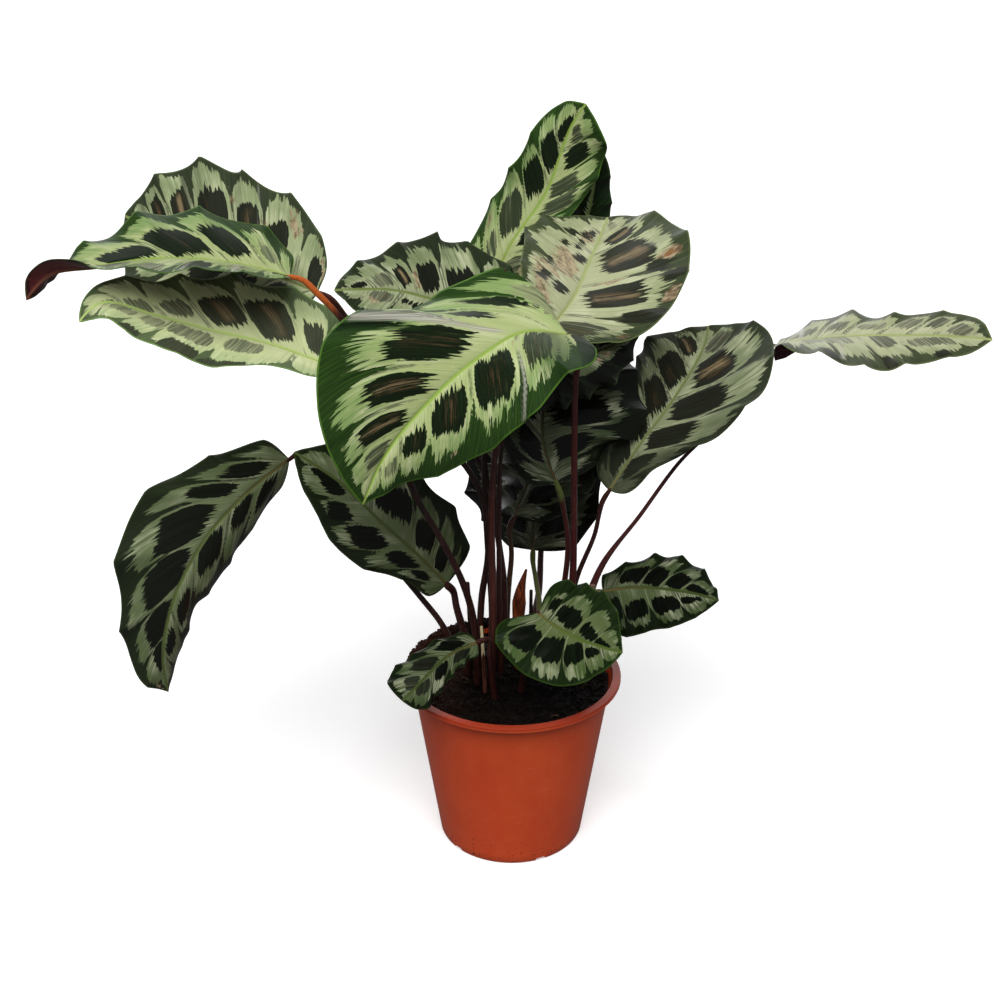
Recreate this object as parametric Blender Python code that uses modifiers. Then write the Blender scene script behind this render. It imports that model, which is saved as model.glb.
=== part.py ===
"""Potted calathea: patterned leaves on long stalks, rooted in a plastic nursery pot full of soil.

Metres, +Z up. The origin is the middle of the pot's base, and the plant is seen from -Y.
Leaf and stalk points are written in millimetres and turned into metres where they are used.
"""
import math
from typing import NamedTuple

import bmesh
import bpy
import numpy as np

MM = 0.001
GAP = 0.3 * MM

# Pot
POT_HEIGHT = 0.1152
RIM_RADIUS = 0.070
MOUTH_RADIUS = 0.0652
NECK_RADIUS = 0.0636
NECK_HEIGHT = 0.1117
BASE_RADIUS = 0.0467
WALL = 0.0011
FLOOR = 0.0015
FLOOR_CORNER = 0.001
LIP_DEPTH = 0.003
LIP_EDGE = 0.0007
POT_SIDES = 40
DRAIN_COUNT = 8
DRAIN_RADIUS = 0.0035
DRAIN_RING = 0.031
NOTCH_COUNT = 5
NOTCH_WIDTH = 0.007
NOTCH_HEIGHT = 0.0022
NOTCH_FIRST_ANGLE = math.radians(-66)

# Soil
SOIL_HEIGHT = 0.1095
SOIL_RINGS = (0.012, 0.024, 0.036, 0.046, 0.054)
MOUND_PLACE = (-0.005, 0.008)
MOUND_SPREAD = (0.030, 0.030)
MOUND_RISE = 0.003
HEAP_PLACE = (-0.048, 0.020)
HEAP_SPREAD = (0.016, 0.020)
HEAP_RISE = 0.010
ROOT_DEPTH = 0.009
FOOT_RISE = 0.0015
HOLE_REACH = 0.030
HOLE_PLAY = 0.45 * MM

# Blades
BLADE_THICKNESS = 0.0009
BLADE_ROWS = 12
BLADE_COLUMNS = 6
WIDTH_PLACES = (0.03, 0.22, 0.47, 0.72, 0.92)
END_HALF_WIDTH = 0.6 * MM
VEIN_SWEEP = 0.12
MARGIN_WAVES = 6
SCALLOP = 0.35
LIFT_SWEEP = 0.28
LIFT_GROWTH = 1.3
LIFT_START = 0.08
FACE_HINT = np.array((0.0, -0.5, 0.866))

# Stalks
STALK_STEPS = 9
REMAIN_STEPS = 5
STALK_PLACES = (0.0, 0.35, 0.82, 0.94, 1.0)
STALK_SWELL = (1.05, 0.85, 1.05, 0.55)
JOINT_RUN = 7 * MM
JOINT_GAP = 0.7 * MM


class Leaf(NamedTuple):
    """One leaf. Points and widths are in mm, angles in degrees, pairs are left then right."""
    rib: tuple
    stalk: tuple
    turn: tuple
    left: tuple
    right: tuple
    fold: tuple
    droop: tuple
    radius: float = 1.8
    foot: float = 1.3
    wave: tuple = (3.5, 3.5)
    shift: tuple = (0.37, 0.0)
    lobe: tuple = (0.0, 0.0)
    lift: tuple = ((), ())
    joins_below: bool = False
    colour: tuple = (0.14, 0.22, 0.09)


LEAVES = {
    "back_left": Leaf(
        rib=((-115, 25, 357), (-155, 45, 367), (-198, 70, 375), (-243, 95, 388)),
        stalk=((-7, 12), (-5, 15, 171), (-8, 22, 194), (-12, 30, 222), (-32, 35, 267),
               (-69, 35, 306), (-98, 28, 339)),
        turn=(-19, -42), left=(20, 45, 51, 48, 26), right=(20, 45, 51, 51, 28),
        fold=(13, 13), droop=(12, 12), wave=(3.5, 5.0), colour=(0.10, 0.14, 0.08)),
    "upper_left": Leaf(
        rib=((-127, 0, 373), (-164, -5, 383), (-199, -15, 387), (-230, -25, 385), (-253, -35, 383),
             (-266, -40, 370)),
        stalk=((-22, -10), (-24, -14, 160), (-30, -22, 189), (-42, -30, 221), (-58, -30, 253),
               (-66, -15, 273), (-79, -2, 309), (-99, 0, 348), (-112, 0, 363)),
        turn=(24, 20, 15, 25, 105), left=(24, 34, 36, 22, 9), right=(30, 46, 44, 26, 10),
        fold=(20.5, 17), droop=(8, 10), radius=1.8, wave=(1.5, 3.0), shift=(0.37, 0.52),
        colour=(0.20, 0.30, 0.11)),
    "mid_left": Leaf(
        rib=((-106, -10, 323), (-140, -15, 338), (-170, -20, 347), (-199, -28, 358), (-227, -35, 367),
             (-239, -38, 357)),
        stalk=((-20, 2), (-19, 0, 167), (-15, 0, 197), (-16, 3, 226), (-29, 6, 255), (-56, 10, 276),
               (-85, 4, 301)),
        turn=(0, 0), left=(14, 20, 36, 28, 13), right=(34, 38, 36, 22, 10),
        fold=(18, 18), droop=(6, 6), wave=(0.5, 3.0), colour=(0.20, 0.27, 0.14)),
    "front_large": Leaf(
        rib=((33, 0, 338), (7, -12, 344), (-19, -35, 336), (-43, -60, 322), (-69, -85, 297),
             (-81, -100, 274)),
        stalk=((32, 5), (38, 3, 179), (38, 0, 210), (37, -4, 267), (37, -4, 315)),
        turn=(16, -20, -56), left=(36, 42, 45, 36, 14), right=(34, 58, 60, 64, 30),
        fold=(10, 24), droop=(34, 36), radius=2.0, wave=(1.5, 1.5), lobe=(0.02, 0.0),
        lift=(((-0.3, 16), (-0.12, 13), (0.0, 8), (0.16, -1), (0.205, 2), (0.26, 0)),
              ((-0.30, 0), (-0.2, -7), (-0.12, -10), (-0.07, 6), (-0.03, -4), (0.03, -16),
               (0.11, -17), (0.19, -10), (0.255, 1.5), (0.34, 0))), colour=(0.17, 0.32, 0.10)),
    "back_centre": Leaf(
        rib=((6, 66, 338), (-14, 62, 341), (-39, 55, 343), (-71, 45, 353), (-106, 30, 357)),
        stalk=((-13, 15), (-13, 15, 158), (-15, 19, 187), (-17, 22, 227), (-17, 25, 264),
               (-13, 32, 294), (2, 50, 322)),
        turn=(-14, -5), left=(19, 34, 46, 30, 17), right=(22, 42, 49, 29, 13),
        fold=(10, 10), droop=(16, 16), radius=1.6, wave=(3.5, 2.5), colour=(0.11, 0.17, 0.08)),
    "pale_right": Leaf(
        rib=((23, 28, 335), (37, 58, 344), (50, 102, 357), (65, 156, 374)),
        stalk=((-13, -10), (-12, -10, 167), (-12, -8, 244), (-9, -3, 273), (-4, 0, 286), (9, 12, 314)),
        turn=(21, -15), left=(20, 38, 42, 47, 38), right=(26, 53, 64, 62, 38),
        fold=(16, 16), droop=(8, 8), radius=2.0, wave=(2.5, 3.0), colour=(0.30, 0.28, 0.18)),
    "top": Leaf(
        rib=((-14, 156, 317), (-3, 166, 348), (24, 176, 387), (41, 181, 431), (50, 179, 445)),
        stalk=((-12, 24), (-11, 27, 152), (-13, 36, 184), (-15, 50, 213), (-19, 80, 243),
               (-21, 116, 268), (-19, 142, 293)),
        turn=(-13, 20), left=(24, 30, 35, 26, 17), right=(21, 27, 23, 29, 26),
        fold=(12, 12), droop=(30, 30), wave=(1.5, 1.5), colour=(0.17, 0.27, 0.10)),
    "right": Leaf(
        rib=((62, 37, 225), (81, 47, 252), (104, 64, 278), (125, 92, 304), (129, 104, 314)),
        stalk=((33, 19), (42, 24, 170), (53, 31, 197)),
        turn=(-9, -26), left=(12, 24, 33, 40, 42), right=(11, 22, 46, 57, 45),
        fold=(9, 9), droop=(8, 8), radius=1.6, wave=(2.0, 4.0), colour=(0.12, 0.15, 0.09)),
    "far_right": Leaf(
        rib=((171, 90, 305), (205, 81, 313), (244, 68, 318), (272, 56, 321), (295, 45, 322)),
        stalk=((42, 11), (56, 20, 177), (82, 33, 210), (107, 48, 240), (124, 62, 252),
               (148, 88, 270), (161, 96, 288)),
        turn=(-43, -12, 18), left=(24, 42, 23, 20, 14), right=(24, 40, 42, 24, 11),
        fold=(11, 11), droop=(15, 15), radius=1.3, foot=2.4, wave=(2.0, 3.0), colour=(0.20, 0.26, 0.16)),
    "low_left": Leaf(
        rib=((-134, 0, 261), (-154, -22, 251), (-177, -50, 232), (-194, -68, 203), (-204, -70, 165),
             (-204, -66, 139)),
        stalk=((-35, 10), (-45, 12, 143), (-59, 18, 160), (-83, 20, 191), (-107, 20, 224),
               (-126, 12, 250)),
        turn=(-54, -29), left=(17, 31, 34, 19, 15), right=(15, 30, 44, 27, 14),
        fold=(-8, 7), droop=(60, 25), radius=1.6, wave=(0.7, 3.5), shift=(0.37, 0.42), colour=(0.10, 0.14, 0.08)),
    "low_centre": Leaf(
        rib=((-41, 8, 173), (-58, 0, 197), (-83, -8, 227), (-102, -12, 250), (-129, -14, 271)),
        stalk=((-29, -1), (-30, 2, 139), (-35, 6, 158)),
        turn=(-30, -9), left=(12, 18, 31, 28, 14), right=(22, 36, 36, 31, 12),
        fold=(12, 12), droop=(12, 12), radius=2.4, wave=(1.5, 2.5), colour=(0.08, 0.11, 0.06)),
    "inner_right": Leaf(
        rib=((27, 12, 241), (19, 25, 264), (21, 50, 288), (28, 85, 310), (35, 110, 323)),
        stalk=((21, 10), (34, 12, 178), (35, 12, 202), (31, 10, 228)),
        turn=(24, 4), left=(20, 28, 34, 32, 22), right=(40, 60, 66, 54, 34),
        fold=(9, 9), droop=(16, 16), colour=(0.04, 0.07, 0.04)),
    "small_front": Leaf(
        rib=((16, -30, 173), (19, -33, 171), (36, -45, 165), (56, -55, 162), (65, -60, 162)),
        stalk=((6, -18), (8, -20, 127), (11, -24, 150)),
        turn=(10, 10), left=(22, 32, 33, 28, 10), right=(26, 36, 35, 27, 12),
        fold=(10, 10), droop=(10, 10), radius=1.8, wave=(2.0, 2.0), lobe=(0.17, 0.17), joins_below=True,
        colour=(0.14, 0.21, 0.09)),
    "small_right": Leaf(
        rib=((57, 0, 172), (75, 0, 175), (98, -5, 176), (116, -10, 175), (128, -12, 172)),
        stalk=((39, -3), (41, -2, 131), (47, 0, 158)),
        turn=(11, 7), left=(11, 17, 25, 22, 11), right=(28, 32, 28, 22, 9),
        fold=(5, 5), droop=(20, 20), radius=1.8, wave=(2.0, 2.0), colour=(0.11, 0.16, 0.08)),
    "small_left": Leaf(
        rib=((-21, -35, 155), (-38, -45, 152), (-52, -60, 145), (-65, -72, 136)),
        stalk=((-11, -26), (-12, -28, 125), (-14, -31, 143)),
        turn=(0, 0), left=(7, 10, 12, 13, 13), right=(8, 12, 15, 18, 17),
        fold=(5, 10), droop=(60, 20), radius=1.6, wave=(1.5, 1.5), colour=(0.10, 0.15, 0.07)),
    "inner_centre": Leaf(
        rib=((2, 42, 205), (9, 50, 219), (17, 65, 235), (22, 95, 259), (25, 115, 273)),
        stalk=((-4, 26), (-2, 32, 157), (0, 38, 180)),
        turn=(-28, -11), left=(24, 33, 42, 32, 16), right=(20, 40, 43, 32, 16),
        fold=(2, 2), droop=(30, 30), colour=(0.04, 0.07, 0.04)),
    "inner_back": Leaf(
        rib=((15, 78, 164), (15, 88, 197), (13, 105, 226), (10, 130, 261)),
        stalk=((13, 32), (19, 56, 133), (17, 68, 146)),
        turn=(-19, -7), left=(22, 40, 48, 38, 19), right=(27, 43, 47, 38, 19),
        fold=(4, 4), droop=(20, 20), colour=(0.03, 0.05, 0.03)),
    "inner_top": Leaf(
        rib=((5, 26, 299), (29, 28, 311), (53, 34, 319), (78, 46, 327)),
        stalk=((-7, 2), (-8, 0, 166), (-8, 0, 221), (-7, 1, 262), (-4, 12, 282)),
        turn=(30, 25), left=(10, 14, 16, 14, 7), right=(18, 24, 24, 20, 8),
        fold=(3, 3), droop=(30, 30), radius=1.5, colour=(0.05, 0.08, 0.04)),
    "top_behind": Leaf(
        rib=((35, 200, 328), (54, 200, 366), (60, 195, 402), (63, 193, 412)),
        stalk=((6, 34), (18, 66, 132), (21, 98, 155), (24, 132, 194), (30, 168, 243), (32, 190, 287)),
        turn=(-5, -5), left=(15, 31, 24, 16, 8), right=(15, 28, 18, 12, 8),
        fold=(6, 6), droop=(18, 18), colour=(0.05, 0.12, 0.04)),
}

# Remains of older growth: points from just above the soil to the cut or dried end, and radii, in mm
REMAINS = {
    "stub_left": (((-25, 16), (-27, 14, 150), (-28, 13, 172)), (1.8, 1.6, 1.2)),
    "stub_middle": (((-17, -20), (-18, -19, 138), (-19, -18, 157)), (1.3, 1.2, 0.8)),
    "stub_right": (((48, 5), (50, 5, 150), (51, 5, 174)), (2.6, 2.3, 1.8)),
    "stub_dark": (((12, 1), (12, 0, 150), (12, 0, 173)), (1.6, 1.4, 1.0)),
    "dried_sheath": (((4, 8), (4, 6, 150), (5, 5, 168), (9, 5, 185)), (2.4, 3.0, 4.2, 0.7)),
}


def clear_scene():
    for thing in list(bpy.data.objects):
        bpy.data.objects.remove(thing, do_unlink=True)


def new_collection(name):
    collection = bpy.data.collections.new(name)
    bpy.context.scene.collection.children.link(collection)
    return collection


def paint(name, colour, roughness, metallic=0.0):
    material = bpy.data.materials.new(name)
    material.use_nodes = True
    shader = material.node_tree.nodes["Principled BSDF"]
    shader.inputs["Base Color"].default_value = (*colour, 1.0)
    shader.inputs["Roughness"].default_value = roughness
    shader.inputs["Metallic"].default_value = metallic
    material.diffuse_color = (*colour, 1.0)
    return material


def add_mesh(name, bm, collection, material=None):
    mesh = bpy.data.meshes.new(name)
    bm.to_mesh(mesh)
    bm.free()
    thing = bpy.data.objects.new(name, mesh)
    if material:
        mesh.materials.append(material)
    collection.objects.link(thing)
    return thing


def unit(vectors):
    return vectors / np.linalg.norm(vectors, axis=-1, keepdims=True)


def smooth_path(points, count):
    """Evenly spaced points on a smooth curve through the given ones, and its length."""
    points = np.asarray(points, float)
    knots = np.concatenate(([0.0], np.cumsum(np.linalg.norm(np.diff(points, axis=0), axis=1) ** 0.75)))
    spans = np.diff(knots)
    slopes = np.diff(points, axis=0) / spans[:, None]
    tangents = np.empty_like(points)
    weights = spans[:-1] + spans[1:]
    tangents[1:-1] = (slopes[:-1] * spans[1:, None] + slopes[1:] * spans[:-1, None]) / weights[:, None]
    tangents[0] = 1.5 * slopes[0] - 0.5 * tangents[1]
    tangents[-1] = 1.5 * slopes[-1] - 0.5 * tangents[-2]
    at = np.linspace(0, knots[-1], 30 * len(spans) + 1)
    span = np.clip(np.searchsorted(knots, at, side="right") - 1, 0, len(spans) - 1)
    width = spans[span][:, None]
    u = (at - knots[span])[:, None] / width
    rise = u * u * (3 - 2 * u)
    curve = points[span] * (1 - rise) + points[span + 1] * rise
    curve += width * (tangents[span] * u * (1 - u) ** 2 - tangents[span + 1] * u * u * (1 - u))
    reach = np.concatenate(([0.0], np.cumsum(np.linalg.norm(np.diff(curve, axis=0), axis=1))))
    even = np.linspace(0, reach[-1], count)
    return np.stack([np.interp(even, reach, column) for column in curve.T], axis=-1), reach[-1]


class Rib:
    """A leaf's midrib with, all along it, the way it runs, the way the blade faces and its right."""

    def __init__(self, leaf):
        self.points, self.length = smooth_path(np.array(leaf.rib) * MM, 200)
        self.places = np.linspace(0, 1, len(self.points))
        self.along = unit(np.gradient(self.points, axis=0))
        level = unit(FACE_HINT - (self.along @ FACE_HINT)[:, None] * self.along)
        turn = np.radians(np.interp(self.places, np.linspace(0, 1, len(leaf.turn)), leaf.turn))[:, None]
        self.facing = level * np.cos(turn) + np.cross(self.along, level) * np.sin(turn)
        self.side = np.cross(self.along, self.facing)

    def read(self, rows, places):
        return np.stack([np.interp(places, self.places, column) for column in rows.T], axis=-1)

    def point(self, places):
        behind = np.minimum(places, 0)[:, None] * self.along[0] * self.length
        return self.read(self.points, places) + behind


def margin(widths, length, lobe):
    """The blade's edge on one side, as shares of the length and half widths in metres."""
    places = np.array(WIDTH_PLACES) * length
    places[0] -= lobe * length
    corners = [(0.0, 0.0), *zip(places, np.array(widths) * MM), (length, 0.0)]
    edge, _ = smooth_path(corners, 101)
    return edge / (length, 1.0)


def blade_points(leaf, q, t):
    """Points of the blade's middle surface: q runs from base to tip, t from left to right edge."""
    rib = Rib(leaf)
    swept = q + 4 * VEIN_SWEEP * q * (1 - q)
    across = np.abs(t)
    place = np.zeros_like(q)
    half = np.zeros_like(q)
    rise = np.zeros_like(q)
    bend = np.zeros_like(q)
    lift = np.zeros_like(q)
    height = np.zeros_like(q)
    waves = swept * MARGIN_WAVES
    along_veins = q - LIFT_SWEEP * across ** 0.9 * (1 - q) ** 0.7
    for picked, widths, fold, droop, wave, shift, lobe, knots in zip(
            (t < 0, t >= 0), (leaf.left, leaf.right), leaf.fold, leaf.droop, leaf.wave, leaf.shift,
            leaf.lobe, leaf.lift):
        edge = margin(widths, rib.length, lobe)
        steps = np.linspace(0, 1, len(edge))
        edge_place = np.interp(swept[picked], steps, edge[:, 0])
        half[picked] = np.interp(swept[picked], steps, edge[:, 1]) + END_HALF_WIDTH
        place[picked] = q[picked] + (edge_place - q[picked]) * across[picked] ** 1.3
        rise[picked] = math.radians(fold)
        bend[picked] = math.radians(droop)
        height[picked] = wave * MM
        waves[picked] += shift
        if knots:
            start = np.clip(q[picked] / LIFT_START, 0, 1) ** 0.5
            lift[picked] = start * np.interp(along_veins[picked], *zip(*knots)) * MM
    slope = rise - bend * across
    out = half / bend * (np.sin(rise) - np.sin(slope))
    up = half / bend * (np.cos(slope) - np.cos(rise))
    height = height * np.sin(np.pi * np.clip(swept, 0, 1)) ** 0.6
    ripple = height * across ** 2 * (1 - 2 * np.abs(np.sin(np.pi * waves)) ** 0.85)
    raised = ripple + lift * across ** LIFT_GROWTH
    out = (out - raised * np.sin(slope) + SCALLOP * ripple * np.cos(slope)) * np.sign(t)
    up = up + raised * np.cos(slope) + SCALLOP * ripple * np.sin(slope)
    side = rib.read(rib.side, place)
    facing = rib.read(rib.facing, place)
    return rib.point(place) + out[:, None] * side + up[:, None] * facing


def make_blade(name, leaf, collection):
    bm = bmesh.new()
    bmesh.ops.create_grid(bm, x_segments=BLADE_ROWS, y_segments=BLADE_COLUMNS, size=1.0)
    flat = np.array([vertex.co[:] for vertex in bm.verts])
    points = blade_points(leaf, (flat[:, 0] + 1) / 2, -flat[:, 1])
    for vertex, point in zip(bm.verts, points):
        vertex.co = point
    bmesh.ops.triangulate(bm, faces=bm.faces[:], quad_method="FIXED")
    blade = add_mesh(name, bm, collection, paint(name, leaf.colour, 0.4))
    solid = blade.modifiers.new("Thickness", "SOLIDIFY")
    solid.thickness = BLADE_THICKNESS
    solid.offset = 0.0
    blade.data.shade_smooth()
    return blade


def bump(x, y, place, spread, rise):
    """A smooth round hill on level ground."""
    return rise * math.exp(-(((x - place[0]) / spread[0]) ** 2 + ((y - place[1]) / spread[1]) ** 2) / 2)


def soil_level(x, y):
    """Height of the soil: nearly level, a low mound at the stalks and a heap at the left."""
    mound = bump(x, y, MOUND_PLACE, MOUND_SPREAD, MOUND_RISE)
    heap = bump(x, y, HEAP_PLACE, HEAP_SPREAD, HEAP_RISE)
    return SOIL_HEIGHT + mound + heap


def rooted(points):
    """The way of a stalk from its root in the soil to its last free point, in metres."""
    x, y = np.array(points[0]) * MM
    level = soil_level(x, y)
    way = [(x, y, level - ROOT_DEPTH), (x, y, level + FOOT_RISE)]
    return way + [tuple(np.array(point) * MM) for point in points[1:]]


def make_tube(name, way, radii, steps, collection, material):
    """A tapering tube: straight in the soil, then a smooth curve through the way's points."""
    fine, length = smooth_path(way[1:], 400)
    shares = np.append(np.linspace(0, 1 - JOINT_RUN / length, steps), 1.0)
    free = np.stack([np.interp(shares, np.linspace(0, 1, len(fine)), column) for column in fine.T], axis=-1)
    points = np.vstack((way[0], free))
    curve = bpy.data.curves.new(name, "CURVE")
    curve.dimensions = "3D"
    curve.bevel_depth = MM
    curve.bevel_resolution = 1
    curve.use_fill_caps = True
    spline = curve.splines.new("POLY")
    spline.points.add(len(points) - 1)
    sizes = [radii(share) for share in (0.0, *shares)]
    for target, point, size in zip(spline.points, points, sizes):
        target.co = (*point, 1.0)
        target.radius = size
    curve.materials.append(material)
    tube = bpy.data.objects.new(name, curve)
    collection.objects.link(tube)
    return tube


def stalk_end(leaf):
    """The last two points of a stalk, in line with the blade's base or square under it."""
    rib = Rib(leaf)
    if leaf.joins_below:
        direction = rib.facing[0]
        reach = BLADE_THICKNESS / 2 + GAP
    else:
        direction = rib.along[0]
        reach = JOINT_GAP
    base = rib.points[0]
    return [tuple(base - direction * JOINT_RUN), tuple(base - direction * reach)]


def make_stalk(name, leaf, collection):
    way = rooted(leaf.stalk) + stalk_end(leaf)

    def radii(share):
        return leaf.radius * float(np.interp(share, STALK_PLACES, (leaf.foot, *STALK_SWELL)))

    return make_tube(name, way, radii, STALK_STEPS, collection, paint(name, (0.10, 0.03, 0.025), 0.45))


def make_remain(name, points, sizes, collection):
    way = rooted(points)

    def radii(share):
        return float(np.interp(share, np.linspace(0, 1, len(sizes)), sizes))

    return make_tube(name, way, radii, REMAIN_STEPS, collection, paint(name, (0.22, 0.10, 0.04), 0.8))


def spin(name, profile, steps, collection, material):
    """Turns a profile of radius and height around Z into a closed body."""
    bm = bmesh.new()
    corners = [bm.verts.new((radius, 0.0, height)) for radius, height in profile]
    for first, second in zip(corners, corners[1:]):
        bm.edges.new((first, second))
    thing = add_mesh(name, bm, collection, material)
    screw = thing.modifiers.new("Spin", "SCREW")
    screw.steps = steps
    screw.render_steps = steps
    screw.use_merge_vertices = True
    screw.merge_threshold = 0.00001
    return thing


def cut(thing, cutters):
    """Cuts every object of a collection from the thing."""
    boolean = thing.modifiers.new("Cuts", "BOOLEAN")
    boolean.operation = "DIFFERENCE"
    boolean.operand_type = "COLLECTION"
    boolean.collection = cutters
    boolean.solver = "EXACT"


def hide_cutter(cutter):
    cutter.hide_render = True
    cutter.display_type = "WIRE"


def add_round_cutter(name, place, radius, low, high, sides, cutters):
    """An upright cylinder that cuts a hole at a place, from one height to another."""
    bm = bmesh.new()
    bmesh.ops.create_cone(bm, cap_ends=True, segments=sides, radius1=radius, radius2=radius,
                          depth=high - low)
    cutter = add_mesh(name, bm, cutters)
    cutter.location = (*place, (low + high) / 2)
    hide_cutter(cutter)


def wall_radius(height):
    """Inner radius of the pot's wall."""
    share = height / NECK_HEIGHT
    return BASE_RADIUS + (NECK_RADIUS - BASE_RADIUS) * share - WALL


def make_pot(collection, cutters):
    profile = (
        (0.0, FLOOR),
        (wall_radius(0) - FLOOR_CORNER, FLOOR),
        (wall_radius(2 * FLOOR), 2 * FLOOR),
        (wall_radius(NECK_HEIGHT), NECK_HEIGHT - WALL),
        (MOUTH_RADIUS - WALL, POT_HEIGHT - WALL),
        (MOUTH_RADIUS, POT_HEIGHT),
        (RIM_RADIUS - LIP_EDGE, POT_HEIGHT),
        (RIM_RADIUS, POT_HEIGHT - LIP_EDGE),
        (RIM_RADIUS, POT_HEIGHT - LIP_DEPTH + LIP_EDGE),
        (RIM_RADIUS - WALL, POT_HEIGHT - LIP_DEPTH),
        (NECK_RADIUS + WALL, NECK_HEIGHT),
        (NECK_RADIUS, NECK_HEIGHT - WALL),
        (BASE_RADIUS, LIP_EDGE),
        (BASE_RADIUS - LIP_EDGE, 0.0),
        (0.0, 0.0),
    )
    pot = spin("pot", profile, POT_SIDES, collection, paint("pot", (0.52, 0.09, 0.03), 0.35))
    for number in range(DRAIN_COUNT):
        angle = 2 * math.pi * number / DRAIN_COUNT
        place = (DRAIN_RING * math.cos(angle), DRAIN_RING * math.sin(angle))
        add_round_cutter(f"drain_cutter_{number}", place, DRAIN_RADIUS, -FLOOR, 2 * FLOOR, 10, cutters)
    for number in range(NOTCH_COUNT):
        angle = NOTCH_FIRST_ANGLE + 2 * math.pi * number / NOTCH_COUNT
        bm = bmesh.new()
        bmesh.ops.create_cube(bm, size=1.0)
        bmesh.ops.scale(bm, vec=(NOTCH_WIDTH, NOTCH_WIDTH, 2 * NOTCH_HEIGHT), verts=bm.verts)
        notch = add_mesh(f"notch_cutter_{number}", bm, cutters)
        notch.location = (BASE_RADIUS * math.cos(angle), BASE_RADIUS * math.sin(angle), 0.0)
        notch.rotation_euler = (0, 0, angle)
        hide_cutter(notch)
    cut(pot, cutters)
    return pot


def make_soil(collection, cutters, feet):
    """The soil plug, with its heaped top and a hole for each stalk: feet holds name, place and radius."""
    bottom = FLOOR + GAP
    profile = [(0.0, SOIL_HEIGHT)]
    profile += [(radius, SOIL_HEIGHT) for radius in SOIL_RINGS]
    profile += [
        (wall_radius(SOIL_HEIGHT) - GAP, SOIL_HEIGHT),
        (wall_radius(2 * bottom) - GAP, 2 * bottom),
        (wall_radius(0) - FLOOR_CORNER - 2 * GAP, bottom),
        (0.0, bottom),
    ]
    soil = spin("soil", profile, POT_SIDES, collection, paint("soil", (0.012, 0.008, 0.006), 0.95))
    graph = bpy.context.evaluated_depsgraph_get()
    shaped = bpy.data.meshes.new_from_object(soil.evaluated_get(graph))
    soil.modifiers.clear()
    soil.data = shaped
    for vertex in shaped.vertices:
        if vertex.co.z > SOIL_HEIGHT - GAP:
            vertex.co.z = soil_level(vertex.co.x, vertex.co.y)
    for name, place, radius in feet:
        level = soil_level(*place)
        low = level - ROOT_DEPTH - GAP
        high = level + HOLE_REACH
        add_round_cutter(f"{name}_hole_cutter", place, radius + HOLE_PLAY, low, high, 8, cutters)
    cut(soil, cutters)
    return soil


def build():
    clear_scene()
    plant = new_collection("potted_calathea")
    pot_cutters = new_collection("pot_cutters")
    soil_cutters = new_collection("soil_cutters")
    feet = []
    make_pot(plant, pot_cutters)
    for name, leaf in LEAVES.items():
        make_blade(f"blade_{name}", leaf, plant)
        make_stalk(f"stalk_{name}", leaf, plant)
        feet.append((name, np.array(leaf.stalk[0]) * MM, leaf.foot * leaf.radius * MM))
    for name, (points, sizes) in REMAINS.items():
        make_remain(name, points, sizes, plant)
        feet.append((name, np.array(points[0]) * MM, sizes[0] * MM))
    make_soil(plant, soil_cutters, feet)


build()
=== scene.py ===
"""Potted calathea, dressed: leaves with their feathered markings, ribbed stalks, crumbly soil, moulded pot.

The leaves, stalks, soil and pot repeat the design values of the part's source. Metres, +Z up; leaf
points are in millimetres. The leaf's own coordinates are q from base to tip and t from left to right.
"""

import math
from typing import NamedTuple

import bmesh
import bpy
import numpy as np
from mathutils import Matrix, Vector, noise


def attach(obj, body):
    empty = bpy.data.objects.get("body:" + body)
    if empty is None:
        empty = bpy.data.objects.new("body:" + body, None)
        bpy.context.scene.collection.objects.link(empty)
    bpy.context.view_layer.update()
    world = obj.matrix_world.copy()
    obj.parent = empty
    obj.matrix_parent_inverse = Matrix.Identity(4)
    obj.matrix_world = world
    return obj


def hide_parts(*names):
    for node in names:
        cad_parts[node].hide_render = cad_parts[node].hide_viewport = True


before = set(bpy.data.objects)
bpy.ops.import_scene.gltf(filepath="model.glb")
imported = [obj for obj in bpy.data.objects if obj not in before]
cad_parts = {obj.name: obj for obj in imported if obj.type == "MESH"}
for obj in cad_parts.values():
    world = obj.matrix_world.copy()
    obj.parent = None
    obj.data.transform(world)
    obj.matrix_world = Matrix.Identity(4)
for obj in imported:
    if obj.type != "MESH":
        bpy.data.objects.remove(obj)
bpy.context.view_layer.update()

MM = 0.001

# Camera, as fitted to the pot's rim and base
IMAGE_WIDTH_PX = 1000
FOCAL_PX = 1430
SENSOR_MM = 36.0
CAMERA_PLACE = (-0.0074, -0.801, 0.576)
CAMERA_PITCH = math.radians(23.1)

# Light and floor: the main light, the even light, what gloss mirrors (a white rear wall and one small
# bright source), and the floor
WHITE = (1.0, 1.0, 1.0, 1.0)
MAIN_LIGHT = 2.9
MAIN_LIGHT_WIDTH = math.radians(48)
MAIN_LIGHT_FROM = (-0.05, -0.6, 1.0)
AMBIENT = 0.34
AMBIENT_RISE = (-0.4, 0.6)
SHEEN_LIGHT = 1.05
SHEEN_FLOOR = 0.12
SHEEN_EDGE = (0.35, 0.98)
SHEEN_LEVEL = (-0.6, 0.0)
GLINT = 4.5
GLINT_FROM = (-0.25, 0.35, 0.9)
GLINT_EDGE = (0.982, 0.995)
FLOOR_REACH = 30.0
FLOOR_GLOW = 0.3

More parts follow.
